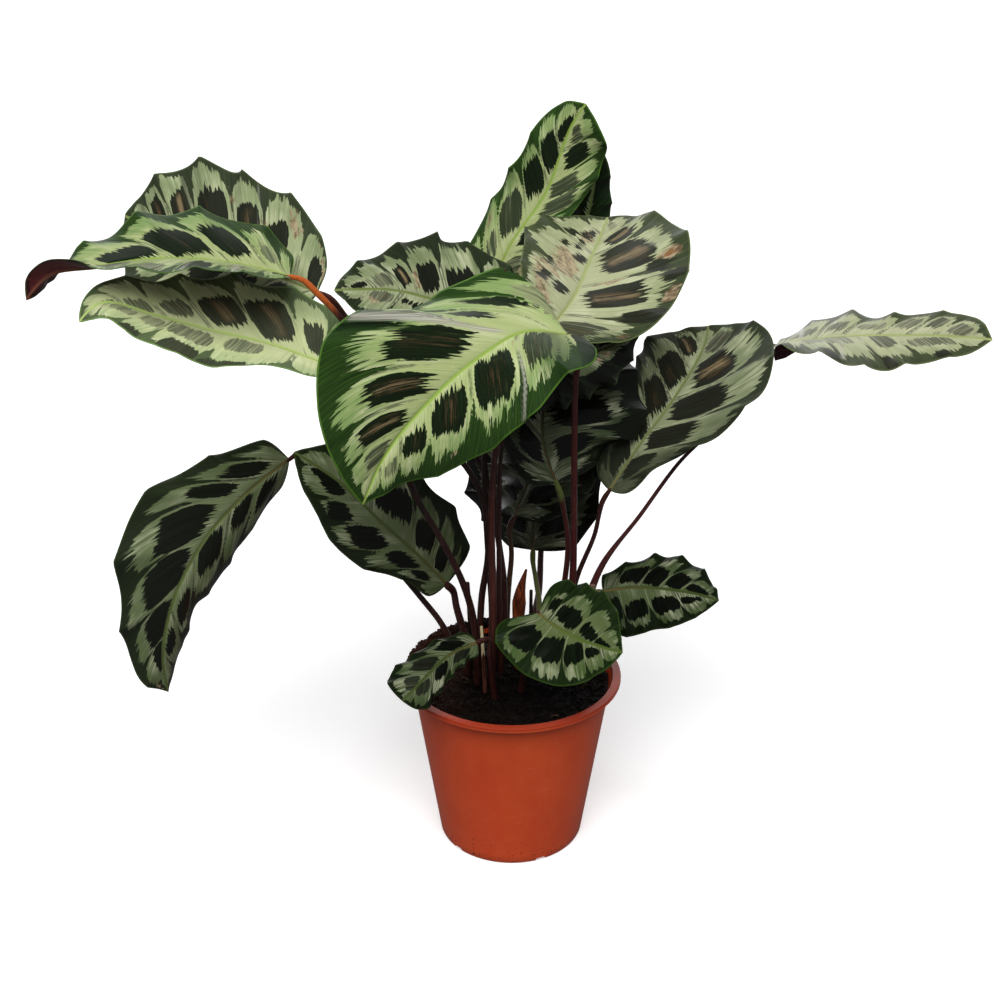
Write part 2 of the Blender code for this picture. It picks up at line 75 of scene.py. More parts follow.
# Pot
POT_HEIGHT = 0.1152
RIM_RADIUS = 0.070
MOUTH_RADIUS = 0.0652
NECK_RADIUS = 0.0636
NECK_HEIGHT = 0.1117
BASE_RADIUS = 0.0467
WALL = 0.0011
FLOOR = 0.0015
LIP_DEPTH = 0.003
LIP_EDGE = 0.0007
POT_SIDES = 160
WALL_ROWS = 24
DRAIN_COUNT = 8
DRAIN_RADIUS = 0.0035
DRAIN_RING = 0.031
NOTCH_COUNT = 5
NOTCH_WIDTH = 0.007
NOTCH_HEIGHT = 0.0022
NOTCH_FIRST_ANGLE = math.radians(-66)
DRAIN_BAND = 8 * MM
BASE_EDGE = 1.2 * MM
FLOOR_EDGE = 2 * MM
SHARP_FROM = math.radians(38)
# The lip's top is darkened over these heights as painted shade
LIP_SHADE = (0.1125, 0.1146)
DUST_HEIGHTS = (0.111, 0.1152)
SPECK_HEIGHTS = (0.020, 0.002)

# Soil
SOIL_HEIGHT = 0.1095
SOIL_GAP = 0.0003
MOUND_PLACE = (-0.005, 0.008)
MOUND_SPREAD = (0.030, 0.030)
MOUND_RISE = 0.003
HEAP_PLACE = (-0.048, 0.020)
HEAP_SPREAD = (0.016, 0.020)
HEAP_RISE = 0.010
HEAP_TO_LEFT = (-0.022, -0.05)
HEAP_HEIGHTS = (0.106, 0.116)
ROOT_DEPTH = 0.009
FOOT_RISE = 0.0015
SOIL_SIDES = 180
SOIL_ROWS = 64
CLOD_SIZES = ((0.010, 0.0022), (0.004, 0.0013), (0.0016, 0.0006))
SCATTER_RADIUS = 0.0605
SCATTER_DEPTH = 0.004

# Soil spilt over the rim
SPILL_ARC = (math.radians(86), math.radians(179))
SPILL_RING = 0.0660
SPILL_WIDTH = 0.0050
SPILL_HEIGHT = 0.0042
SPILL_UNDERSIDE = 0.2
SPILL_STEPS = 90
SPILL_SIDES = 28
SPILL_CRUMBS = 420000.0

# Blades
BLADE_THICKNESS = 0.5 * MM
MARGIN_THICKNESS = 0.22 * MM
BLADE_ROWS = 116
SIDE_COLUMNS = 22
WIDTH_PLACES = (0.03, 0.22, 0.47, 0.72, 0.92)
END_HALF_WIDTH = 0.25 * MM
VEIN_SWEEP = 0.12
MARGIN_WAVES = 6
SCALLOP = 0.35
LIFT_SWEEP = 0.28
LIFT_GROWTH = 1.3
LIFT_START = 0.08
FACE_HINT = np.array((0.0, -0.5, 0.866))
QUILT_RISE = 0.75 * MM
GROOVE_DEPTH = 0.55 * MM
GROOVE_WIDTH = 1.3 * MM
RIPPLE_TURNS = (9, 14, 23)
RIPPLE_MM = 0.35
RIB_RADII = (1.25 * MM, 0.3 * MM)
RIB_SIDES = 8
RIB_SINK = 0.7

# The far leaf's rolled foot: where it lies along the midrib, how far round it goes, its radii in mm
ROLL_RINGS = 22
ROLL_SIDES = 30
ROLL_REACH = (-0.012, 0.19)
ROLL_TURN = math.radians(80)
ROLL_WALL = 0.0004
ROLL_PLACES = (0, 0.25, 0.7, 1)
ROLL_RADII = (9.6, 9.0, 4.4, 0.9)
ROLL_SQUEEZE = 0.8
ROLL_WAVE = 0.07
ROLL_WAVES = 5

# Stalks
STALK_PLACES = (0.0, 0.12, 0.35, 0.82, 0.90, 0.95, 1.0)
STALK_SWELL = (1.05, 0.85, 1.02, 1.05, 0.72)
STALK_POINTS = 90
STALK_SECTION = {"Sides": 20, "Ridges": 7.0, "Ridge Depth": 0.05}
JOINT_RUN = 7 * MM
REMAIN_POINTS = 40
REMAIN_SECTION = {"Sides": 18, "Ridges": 5.0, "Ridge Depth": 0.12, "Unevenness": 0.0006}


class Leaf(NamedTuple):
    """One leaf. Points and widths are in mm, angles in degrees, pairs are left then right.

    Tone lightens or darkens all its colours, partly its own lightness and partly painted light and shade,
    grey fades them, green freshens them, gloss is its mirroring, and ragged says how far the edges of its
    markings are torn."""
    rib: tuple
    stalk: tuple
    turn: tuple
    left: tuple
    right: tuple
    fold: tuple
    droop: tuple
    radius: float = 1.8
    foot: float = 1.3
    wave: tuple = (3.5, 3.5)
    shift: tuple = (0.37, 0.0)
    lobe: tuple = (0.0, 0.0)
    lift: tuple = ((), ())
    joins_below: bool = False
    slot: str = "leaf_dark"
    tone: float = 1.0
    grey: float = 0.0
    green: float = 0.0
    gloss: float = 0.38
    ragged: float = 1.0


# Each tone lightens or darkens a leaf's colours: partly the leaf's own lightness, partly painted shade where
# a leaf lies in shadow or turns from the light, and painted light on mid_left under upper_left's shadow
LEAVES = {
    "back_left": Leaf(
        rib=((-115, 25, 357), (-155, 45, 367), (-198, 70, 375), (-243, 95, 388)),
        stalk=((-7, 12), (-5, 15, 171), (-8, 22, 194), (-12, 30, 222), (-32, 35, 267),
               (-69, 35, 306), (-98, 28, 339)),
        turn=(-19, -42), left=(20, 45, 51, 48, 26), right=(20, 45, 51, 51, 28),
        fold=(13, 13), droop=(12, 12), wave=(3.5, 5.0),
        slot="leaf_dark", tone=1.35, grey=0.3, gloss=0.18, ragged=0.6),
    "upper_left": Leaf(
        rib=((-127, 0, 373), (-164, -5, 383), (-199, -15, 387), (-230, -25, 385), (-253, -35, 383),
             (-266, -40, 370)),
        stalk=((-22, -10), (-24, -14, 160), (-30, -22, 189), (-42, -30, 221), (-58, -30, 253),
               (-66, -15, 273), (-79, -2, 309), (-99, 0, 348), (-112, 0, 363)),
        turn=(24, 20, 15, 25, 105), left=(24, 34, 36, 22, 9), right=(30, 46, 44, 26, 10),
        fold=(20.5, 17), droop=(8, 10), radius=1.8, wave=(1.5, 3.0), shift=(0.37, 0.52),
        slot="leaf_bright", tone=0.95, gloss=0.14),
    "mid_left": Leaf(
        rib=((-106, -10, 323), (-140, -15, 338), (-170, -20, 347), (-199, -28, 358), (-227, -35, 367),
             (-239, -38, 357)),
        stalk=((-20, 2), (-19, 0, 167), (-15, 0, 197), (-16, 3, 226), (-29, 6, 255), (-56, 10, 276),
               (-85, 4, 301)),
        turn=(0, 0), left=(14, 20, 36, 28, 13), right=(34, 38, 36, 22, 10),
        fold=(18, 18), droop=(6, 6), wave=(0.5, 3.0),
        slot="leaf_bright", tone=1.9, grey=0.62, ragged=0.75),
    "front_large": Leaf(
        rib=((33, 0, 338), (7, -12, 344), (-19, -35, 336), (-43, -60, 322), (-69, -85, 297),
             (-81, -100, 274)),
        stalk=((32, 5), (38, 3, 179), (38, 0, 210), (37, -4, 267), (37, -4, 315)),
        turn=(16, -20, -56), left=(36, 42, 45, 36, 14), right=(34, 58, 60, 64, 30),
        fold=(10, 24), droop=(34, 36), radius=2.0, wave=(1.5, 1.5), lobe=(0.02, 0.0),
        lift=(((-0.3, 16), (-0.12, 13), (0.0, 8), (0.16, -1), (0.205, 2), (0.26, 0)),
              ((-0.30, 0), (-0.2, -7), (-0.12, -10), (-0.07, 6), (-0.03, -4), (0.03, -16),
               (0.11, -17), (0.19, -10), (0.255, 1.5), (0.34, 0))),
        slot="leaf_bright", tone=1.1, gloss=0.28),
    "back_centre": Leaf(
        rib=((6, 66, 338), (-14, 62, 341), (-39, 55, 343), (-71, 45, 353), (-106, 30, 357)),
        stalk=((-13, 15), (-13, 15, 158), (-15, 19, 187), (-17, 22, 227), (-17, 25, 264),
               (-13, 32, 294), (2, 50, 322)),
        turn=(-14, -5), left=(19, 34, 46, 30, 17), right=(22, 42, 49, 29, 13),
        fold=(10, 10), droop=(16, 16), radius=1.6, wave=(3.5, 2.5),
        slot="leaf_dark", tone=0.94, gloss=0.26, grey=0.15),
    "pale_right": Leaf(
        rib=((23, 28, 335), (37, 58, 344), (50, 102, 357), (65, 156, 374)),
        stalk=((-13, -10), (-12, -10, 167), (-12, -8, 244), (-9, -3, 273), (-4, 0, 286), (9, 12, 314)),
        turn=(21, -15), left=(20, 38, 42, 47, 38), right=(26, 53, 64, 62, 38),
        fold=(16, 16), droop=(8, 8), radius=2.0, wave=(2.5, 3.0),
        slot="leaf_pale", tone=1.0, grey=0.25, gloss=0.3),
    "top": Leaf(
        rib=((-14, 156, 317), (-3, 166, 348), (24, 176, 387), (41, 181, 431), (50, 179, 445)),
        stalk=((-12, 24), (-11, 27, 152), (-13, 36, 184), (-15, 50, 213), (-19, 80, 243),
               (-21, 116, 268), (-19, 142, 293)),
        turn=(-13, 20), left=(24, 30, 35, 26, 17), right=(21, 27, 23, 29, 26),
        fold=(12, 12), droop=(30, 30), wave=(1.5, 1.5),
        slot="leaf_bright", tone=1.05),
    "right": Leaf(
        rib=((62, 37, 225), (81, 47, 252), (104, 64, 278), (125, 92, 304), (129, 104, 314)),
        stalk=((33, 19), (42, 24, 170), (53, 31, 197)),
        turn=(-9, -26), left=(12, 24, 33, 40, 42), right=(11, 22, 46, 57, 45),
        fold=(9, 9), droop=(8, 8), radius=1.6, wave=(2.0, 4.0),
        slot="leaf_dark", tone=0.82, grey=0.35, gloss=0.24),
    "far_right": Leaf(
        rib=((171, 90, 305), (205, 81, 313), (244, 68, 318), (272, 56, 321), (295, 45, 322)),
        stalk=((42, 11), (56, 20, 177), (82, 33, 210), (107, 48, 240), (124, 62, 252),
               (148, 88, 270), (161, 96, 288)),
        turn=(-43, -12, 18), left=(24, 42, 23, 20, 14), right=(24, 40, 42, 24, 11),
        fold=(11, 11), droop=(15, 15), radius=1.3, foot=2.4, wave=(2.0, 3.0),
        slot="leaf_pale", tone=1.0, grey=0.35),
    "low_left": Leaf(
        rib=((-134, 0, 261), (-154, -22, 251), (-177, -50, 232), (-194, -68, 203), (-204, -70, 165),
             (-204, -66, 139)),
        stalk=((-35, 10), (-45, 12, 143), (-59, 18, 160), (-83, 20, 191), (-107, 20, 224),
               (-126, 12, 250)),
        turn=(-54, -29), left=(17, 31, 34, 19, 15), right=(15, 30, 44, 27, 14),
        fold=(-8, 7), droop=(60, 25), radius=1.6, wave=(0.7, 3.5), shift=(0.37, 0.42),
        slot="leaf_dark", tone=0.55, green=0.2, ragged=0.8, grey=0.2),
    "low_centre": Leaf(
        rib=((-41, 8, 173), (-58, 0, 197), (-83, -8, 227), (-102, -12, 250), (-129, -14, 271)),
        stalk=((-29, -1), (-30, 2, 139), (-35, 6, 158)),
        turn=(-30, -9), left=(12, 18, 31, 28, 14), right=(22, 36, 36, 31, 12),
        fold=(12, 12), droop=(12, 12), radius=2.4, wave=(1.5, 2.5),
        slot="leaf_dark", tone=0.47, green=0.25, ragged=0.8, grey=0.12),
    "inner_right": Leaf(
        rib=((27, 12, 241), (19, 25, 264), (21, 50, 288), (28, 85, 310), (35, 110, 323)),
        stalk=((21, 10), (34, 12, 178), (35, 12, 202), (31, 10, 228)),
        turn=(24, 4), left=(20, 28, 34, 32, 22), right=(40, 60, 66, 54, 34),
        fold=(9, 9), droop=(16, 16),
        slot="leaf_shaded", tone=0.32, grey=0.1),
    "small_front": Leaf(
        rib=((16, -30, 173), (19, -33, 171), (36, -45, 165), (56, -55, 162), (65, -60, 162)),
        stalk=((6, -18), (8, -20, 127), (11, -24, 150)),
        turn=(10, 10), left=(22, 32, 33, 28, 10), right=(26, 36, 35, 27, 12),
        fold=(10, 10), droop=(10, 10), radius=1.8, wave=(2.0, 2.0), lobe=(0.17, 0.17), joins_below=True,
        slot="leaf_bright", tone=0.30, green=0.35, gloss=0.25, ragged=0.75),
    "small_right": Leaf(
        rib=((57, 0, 172), (75, 0, 175), (98, -5, 176), (116, -10, 175), (128, -12, 172)),
        stalk=((39, -3), (41, -2, 131), (47, 0, 158)),
        turn=(11, 7), left=(11, 17, 25, 22, 11), right=(28, 32, 28, 22, 9),
        fold=(5, 5), droop=(20, 20), radius=1.8, wave=(2.0, 2.0),
        slot="leaf_dark", tone=0.25, green=0.35, gloss=0.25, ragged=0.75),
    "small_left": Leaf(
        rib=((-21, -35, 155), (-38, -45, 152), (-52, -60, 145), (-65, -72, 136)),
        stalk=((-11, -26), (-12, -28, 125), (-14, -31, 143)),
        turn=(0, 0), left=(7, 10, 12, 13, 13), right=(8, 12, 15, 18, 17),
        fold=(5, 10), droop=(60, 20), radius=1.6, wave=(1.5, 1.5),
        slot="leaf_dark", tone=0.27, green=0.35, gloss=0.25, ragged=0.7),
    "inner_centre": Leaf(
        rib=((2, 42, 205), (9, 50, 219), (17, 65, 235), (22, 95, 259), (25, 115, 273)),
        stalk=((-4, 26), (-2, 32, 157), (0, 38, 180)),
        turn=(-28, -11), left=(24, 33, 42, 32, 16), right=(20, 40, 43, 32, 16),
        fold=(2, 2), droop=(30, 30),
        slot="leaf_shaded", tone=0.28, grey=0.1),
    "inner_back": Leaf(
        rib=((15, 78, 164), (15, 88, 197), (13, 105, 226), (10, 130, 261)),
        stalk=((13, 32), (19, 56, 133), (17, 68, 146)),
        turn=(-19, -7), left=(22, 40, 48, 38, 19), right=(27, 43, 47, 38, 19),
        fold=(4, 4), droop=(20, 20),
        slot="leaf_shaded", tone=0.28, grey=0.1),
    "inner_top": Leaf(
        rib=((5, 26, 299), (29, 28, 311), (53, 34, 319), (78, 46, 327)),
        stalk=((-7, 2), (-8, 0, 166), (-8, 0, 221), (-7, 1, 262), (-4, 12, 282)),
        turn=(30, 25), left=(10, 14, 16, 14, 7), right=(18, 24, 24, 20, 8),
        fold=(3, 3), droop=(30, 30), radius=1.5,
        slot="leaf_shaded", tone=0.5, grey=0.1),
    "top_behind": Leaf(
        rib=((35, 200, 328), (54, 200, 366), (60, 195, 402), (63, 193, 412)),
        stalk=((6, 34), (18, 66, 132), (21, 98, 155), (24, 132, 194), (30, 168, 243), (32, 190, 287)),
        turn=(-5, -5), left=(15, 31, 24, 16, 8), right=(15, 28, 18, 12, 8),
        fold=(6, 6), droop=(18, 18),
        slot="leaf_shaded", tone=1.7),
}


class Side(NamedTuple):
    """Markings of one half of a leaf, in shares of its length along the veins and of its half width.

    A blotch is (first, last, inner, outer, brown streaks, fading). The blotches go from the base to the
    tip with a seam between each two. The extra patches lie anywhere and part no seams."""
    sweep: float
    blotches: tuple
    reach: float = 0.80
    extra: tuple = ()
    base_reach: float = 0.0


PLAIN_SIDE = Side(0.22, ((0.04, 0.19, 0.15, 0.58), (0.23, 0.39, 0.1, 0.6), (0.42, 0.58, 0.1, 0.58),
                         (0.61, 0.75, 0.08, 0.56), (0.78, 0.89, 0.06, 0.45)))

MARKS = {
    "front_large": (
        Side(0.26, (
            (-0.03, -0.02, 0.1, 0.12), (0.035, 0.172, 0.08, 0.62, 0.45, 0.2),
            (0.222, 0.40, 0.10, 0.60, 0.45), (0.437, 0.60, 0.10, 0.53, 0.5),
            (0.617, 0.737, 0.17, 0.50, 0.5), (0.757, 0.845, 0.26, 0.53, 0.0, 0.7)
        ), 0.78, ((-0.30, -0.075, 0.56, 1.1),)),
        Side(0.50, (
            (-0.23, -0.15, 0.35, 0.75, 0.0, 0.8), (-0.14, -0.04, 0.47, 0.72), (0.05, 0.13, 0.26, 0.55),
            (0.207, 0.412, 0.15, 0.60, 0.5), (0.458, 0.578, 0.11, 0.60, 0.75),
            (0.618, 0.716, 0.09, 0.62, 0.8), (0.745, 0.84, 0.05, 0.45, 0.0, 0.4)
        # The extra patch is painted shade: a dark line under the fold's crest
        ), 0.82, ((0.185, 0.22, 0.66, 1.2),), 0.10)),
    "upper_left": (
        Side(0.10, (
            (-0.05, 0.05, 0.3, 0.7), (0.11, 0.19, 0.45, 0.8, 0.0, 0.8), (0.23, 0.33, 0.5, 0.95),
            (0.37, 0.46, 0.6, 0.95, 0.0, 0.7), (0.52, 0.64, 0.3, 0.8, 0.0, 0.4)
        ), 0.92),
        Side(0.29, (
            (-0.05, 0.03, 0.30, 0.60, 0.0, 0.7), (0.080, 0.206, 0.15, 0.66, 0.4),
            (0.233, 0.425, 0.08, 0.57, 0.2), (0.45, 0.66, 0.0, 0.40), (0.70, 0.84, 0.0, 0.3, 0.0, 0.3)
        ), 0.82)),
    "mid_left": (
        Side(0.02, (
            (0.02, 0.03, 0.2, 0.22, 0.0, 0.9), (0.245, 0.395, 0.13, 0.52, 0.0, 0.6),
            (0.43, 0.60, 0.14, 0.54, 0.0, 0.6), (0.62, 0.71, 0.16, 0.50, 0.0, 0.7),
            (0.73, 0.84, 0.14, 0.46, 0.0, 0.7)
        # The last extra patch on each side, past 0.95, darkens the curled tip as painted shade
        ), 0.93, (
            (0.42, 0.555, 0.68, 1.1, 0.4), (0.25, 0.41, 0.82, 1.1), (0.61, 0.70, 0.80, 1.1),
            (0.95, 1.3, 0.0, 1.2, 0.3)
        )),
        Side(0.25, (
            (-0.04, 0.065, 0.18, 0.62, 0.15), (0.100, 0.262, 0.10, 0.68, 0.9),
            (0.275, 0.445, 0.14, 0.60, 0.9), (0.485, 0.615, 0.15, 0.49, 0.7, 0.4),
            (0.67, 0.79, 0.02, 0.32, 0.0, 0.5), (0.83, 0.88, 0.0, 0.15)
        ), 0.87, ((0.95, 1.3, 0.0, 1.2, 0.3),))),
    "back_left": (
        Side(0.20, (
            (0.03, 0.17, 0.1, 0.6), (0.21, 0.36, 0.1, 0.6), (0.38, 0.52, 0.05, 0.4),
            (0.59, 0.79, 0.0, 0.4)
        ), 0.8),
        Side(0.09, (
            (-0.03, 0.055, 0.25, 0.78), (0.168, 0.262, 0.15, 0.63), (0.285, 0.385, 0.12, 0.67, 0.6),
            (0.425, 0.572, 0.10, 0.69, 0.3), (0.605, 0.702, 0.10, 0.72, 1.0),
            (0.735, 0.812, 0.10, 0.73, 0.6)
        ), 0.92)),
    "back_centre": (
        Side(0.10, (
            (0.05, 0.2, 0.1, 0.6), (0.24, 0.42, 0.12, 0.6), (0.49, 0.615, 0.19, 0.39),
            (0.66, 0.80, 0.1, 0.45, 0.6, 0.5)
        ), 0.8),
        Side(0.06, (
            (0.02, 0.16, 0.2, 0.6), (0.20, 0.365, 0.12, 0.50), (0.405, 0.525, 0.12, 0.58),
            (0.565, 0.63, 0.15, 0.57, 1.0), (0.66, 0.76, 0.1, 0.5, 0.5, 0.6), (0.80, 0.90, 0.1, 0.4)
        ), 0.84)),
    "pale_right": (
        Side(0.02, (
            (-0.10, -0.02, 0.3, 0.6, 0.3, 0.5), (0.205, 0.283, 0.12, 0.36),
            (0.52, 0.587, 0.04, 0.20, 0.4), (0.72, 0.82, 0.12, 0.34, 0.8)
        ), 0.86, (
            (0.20, 0.29, 0.47, 0.68), (0.555, 0.615, 0.38, 0.49, 0.3), (0.33, 0.42, 0.50, 0.60, 0.3),
            (0.60, 0.70, 0.20, 0.30, 0.5), (0.66, 0.72, 0.40, 0.62)
        )),
        Side(0.20, (
            (-0.11, 0.045, 0.22, 0.76, 0.6, 0.3), (0.158, 0.304, 0.14, 0.67, 0.8),
            (0.395, 0.625, 0.14, 0.64, 0.9), (0.645, 0.75, 0.18, 0.60, 0.9),
            (0.80, 0.90, 0.25, 0.5, 0.3, 0.8)
        ), 0.86, (
            (0.07, 0.13, 0.66, 1.1, 0.3), (0.32, 0.40, 0.60, 0.82, 0.2), (0.24, 0.30, 0.74, 1.1, 0.3)
        ))),
    "top": (
        Side(0.28, (
            (0.085, 0.18, 0.26, 0.53, 0.0, 0.4), (0.20, 0.375, 0.13, 0.66, 0.0, 0.2),
            (0.40, 0.572, 0.16, 0.71), (0.595, 0.74, 0.05, 0.60), (0.757, 0.90, 0.05, 0.42)
        ), 0.9),
        Side(0.15, (
            (0.05, 0.18, 0.2, 0.55, 0.3, 0.4), (0.227, 0.35, 0.18, 0.63),
            (0.383, 0.498, 0.22, 0.71, 0.0, 0.3), (0.503, 0.60, 0.10, 0.58, 0.0, 0.3),
            (0.63, 0.753, 0.16, 0.62), (0.766, 0.877, 0.18, 0.47, 0.0, 0.3)
        ), 0.86)),
    "right": (
        Side(0.15, (
            (0.02, 0.2, 0.1, 0.6), (0.23, 0.337, 0.05, 0.45), (0.35, 0.518, 0.08, 0.58, 0.4),
            (0.527, 0.70, 0.08, 0.58, 0.3), (0.715, 0.84, 0.22, 0.76, 0.8)
        ), 0.86),
        Side(0.15, (
            (0.03, 0.18, 0.1, 0.55), (0.206, 0.354, 0.08, 0.58), (0.378, 0.53, 0.08, 0.60),
            (0.55, 0.75, 0.13, 0.60, 0.9), (0.76, 0.87, 0.18, 0.74, 0.3, 0.4)
        ), 0.9)),
    "far_right": (
        Side(0.15, (
            (0.02, 0.16, 0.2, 0.5, 0.0, 0.6), (0.20, 0.29, 0.17, 0.5, 0.0, 0.6),
            (0.33, 0.46, 0.25, 0.5, 0.0, 0.8), (0.49, 0.59, 0.3, 0.7, 0.0, 0.6),
            (0.63, 0.71, 0.3, 0.73, 0.0, 0.3), (0.76, 0.87, 0.1, 0.6, 0.0, 0.5)
        )),
        Side(0.18, (
            (0.09, 0.19, 0.1, 0.5, 0.0, 0.7), (0.20, 0.32, 0.05, 0.42, 0.0, 0.7),
            (0.416, 0.52, 0.02, 0.48, 0.0, 0.4), (0.57, 0.80, 0.15, 0.5, 0.0, 0.5)
        ), 0.80, ((0.12, 0.18, 0.75, 1.1), (0.36, 0.42, 0.7, 1.1, 0.4), (0.62, 0.70, 0.74, 1.1)))),
    "low_left": (
        Side(0.25, (
            (0.0, 0.11, 0.1, 0.5), (0.148, 0.263, 0.04, 0.36), (0.30, 0.46, 0.03, 0.42),
            (0.50, 0.64, 0.22, 0.60), (0.69, 0.82, 0.1, 0.38)
        ), 0.72),
        Side(0.30, (
            (-0.03, 0.09, 0.2, 0.6), (0.115, 0.206, 0.2, 0.60), (0.23, 0.403, 0.13, 0.60),
            (0.41, 0.584, 0.05, 0.60), (0.60, 0.765, 0.02, 0.49), (0.77, 0.89, 0.0, 0.33)
        ), 0.80)),
    "low_centre": (
        Side(0.22, (
            (0.0, 0.09, 0.3, 0.65), (0.103, 0.276, 0.19, 0.56), (0.30, 0.465, 0.21, 0.69),
            (0.48, 0.62, 0.35, 0.77), (0.66, 0.87, 0.05, 0.5)
        ), 0.84),
        Side(0.22, (
            (0.02, 0.11, 0.1, 0.5), (0.14, 0.26, 0.12, 0.52), (0.285, 0.54, 0.2, 0.65),
            (0.57, 0.72, 0.1, 0.5)
        ), 0.8)),
    "small_front": (
        Side(0.20, (
            (0.02, 0.13, 0.3, 0.62), (0.15, 0.41, 0.11, 0.46), (0.45, 0.655, 0.06, 0.34),
            (0.66, 0.845, 0.0, 0.24)
        ), 0.76),
        Side(0.22, (
            (0.05, 0.20, 0.30, 0.76), (0.205, 0.40, 0.16, 0.65), (0.405, 0.572, 0.12, 0.56),
            (0.585, 0.737, 0.12, 0.38)
        ), 0.86)),
    "small_right": (
        Side(0.15, (
            (0.10, 0.295, 0.16, 0.63), (0.305, 0.47, 0.06, 0.57), (0.49, 0.65, 0.05, 0.58),
            (0.67, 0.88, 0.05, 0.43)
        ), 0.82),
        Side(0.20, (
            (0.0, 0.11, 0.3, 0.7), (0.13, 0.337, 0.30, 0.68), (0.37, 0.61, 0.22, 0.62),
            (0.617, 0.82, 0.2, 0.44)
        ), 0.86)),
    "small_left": (
        Side(0.20, (
            (0.04, 0.24, 0.12, 0.60, 0.0, 0.2), (0.32, 0.53, 0.10, 0.58),
            (0.60, 0.80, 0.08, 0.50, 0.0, 0.3)
        ), 0.84),
        Side(0.20, (
            (0.06, 0.27, 0.10, 0.66), (0.36, 0.58, 0.08, 0.60, 0.0, 0.2),
            (0.65, 0.84, 0.06, 0.50, 0.0, 0.4)
        ), 0.82)),
    "top_behind": (
        Side(0.2, ((0.1, 0.11, 0.0, 0.004),), 0.08),
        Side(0.2, ((0.1, 0.11, 0.0, 0.004),), 0.08)),
    "inner_top": (
        PLAIN_SIDE,
        Side(0.20, (
            (0.0, 0.14, 0.1, 0.7), (0.16, 0.32, 0.1, 0.8), (0.35, 0.55, 0.45, 0.9), (0.58, 0.75, 0.4, 0.9)
        ), 0.5)),
}

# Dried and tan patches: side, place along, place across, spread along, spread across, amount
DRIED = {
    "pale_right": (
        (-1, 0.45, 0.30, 0.15, 0.25, 0.9), (-1, 0.06, 0.50, 0.15, 0.25, 0.9),
        (-1, 0.74, 0.24, 0.06, 0.16, 0.9), (-1, 0.28, 0.66, 0.10, 0.20, 0.6),
        (1, 0.34, 0.22, 0.02, 0.22, 0.7), (1, 0.40, 0.80, 0.022, 0.12, 1.6),
        (1, 0.18, 0.93, 0.04, 0.10, 0.8), (1, 0.0, 0.9, 0.03, 0.08, 0.8)
    ),
    "front_large": (
        (1, -0.02, 0.42, 0.03, 0.12, 0.5), (-1, 0.215, 0.13, 0.02, 0.07, 0.5),
        (-1, 0.47, 0.80, 0.03, 0.06, 0.6)
    ),
    "mid_left": (
        (1, 0.18, 0.3, 0.10, 0.25, 0.5), (1, 0.45, 0.35, 0.10, 0.25, 0.5),
        (-1, 0.3, 0.7, 0.15, 0.12, 0.35)
    ),
    "top": ((1, 0.10, 0.6, 0.06, 0.22, 0.9), (-1, 0.12, 0.75, 0.08, 0.15, 0.6)),
    "right": ((1, 0.70, 0.42, 0.03, 0.2, 0.7), (-1, 0.62, 0.2, 0.05, 0.1, 0.4)),
    "back_left": (
        (1, 0.25, 0.5, 0.06, 0.15, 0.6), (1, 0.40, 0.72, 0.02, 0.2, 0.7), (1, 0.15, 0.75, 0.03, 0.2, 0.7),
        (1, 0.62, 0.6, 0.05, 0.15, 0.5), (1, -0.02, 0.85, 0.06, 0.12, 0.7)
    ),
    "low_left": ((1, 0.9, 0.8, 0.08, 0.3, 0.6),),
    "back_centre": ((1, 0.55, 0.3, 0.07, 0.25, 0.5), (-1, 0.74, 0.35, 0.08, 0.4, 0.7)),
    "inner_top": ((1, 0.55, 0.22, 0.2, 0.2, 0.5),),
}

# Painted light on folds, lobes and tips: a pale painted highlight where above 0, painted shade where below.
# Side, place along at the midrib and at the margin, place across where it starts and where it stops,
# spread along, amount
PAINTED_FOLD_LIGHT = {
    "front_large": ((1, 0.205, 0.150, 0.02, 1.0, 0.030, 1.0), (-1, 0.188, 0.192, 0.02, 1.0, 0.015, 0.8),
                    (-1, 0.06, -0.02, 0.0, 1.2, 0.10, -0.8), (1, 0.245, 0.212, 0.45, 1.2, 0.018, -0.9)),
    "pale_right": ((1, -0.02, -0.05, 0.1, 1.2, 0.10, -0.5),),
    "mid_left": ((-1, 0.98, 0.98, -0.1, 1.2, 0.06, -1.4), (1, 0.98, 0.98, -0.1, 1.2, 0.06, -1.4)),
    "far_right": ((-1, 0.99, 0.99, -0.1, 1.2, 0.04, -1.2), (1, 0.99, 0.99, -0.1, 1.2, 0.04, -1.2),
                  (-1, 0.12, 0.02, 0.0, 1.1, 0.02, 1.0), (1, 0.30, 0.18, 0.2, 0.9, 0.014, 0.8)),
    "upper_left": ((-1, 0.18, 0.14, 0.3, 1.1, 0.016, 0.8), (-1, 0.34, 0.30, 0.5, 1.1, 0.012, 0.7)),
    "back_left": ((1, 0.30, 0.28, 0.3, 1.1, 0.010, 0.5), (1, 0.62, 0.60, 0.2, 1.1, 0.012, -0.9),
                  (1, 0.86, 0.86, -0.1, 1.2, 0.03, -0.6)),
    "small_right": ((-1, 0.0, 0.0, 0.0, 1.2, 0.2, -0.6), (1, 0.0, 0.0, 0.0, 1.2, 0.2, -0.6)),
    "right": ((1, -0.02, -0.1, -0.1, 1.2, 0.26, -1.1), (-1, -0.02, -0.1, -0.1, 1.2, 0.26, -1.1)),
}

# Sharp bends along a vein: side, place along, spread along, height in mm, place across where it starts
CREASES = {
    "front_large": ((1, 0.155, 0.040, 2.6, 0.15), (-1, 0.188, 0.028, 2.0, 0.1), (1, 0.02, 0.05, -1.5, 0.3)),
}

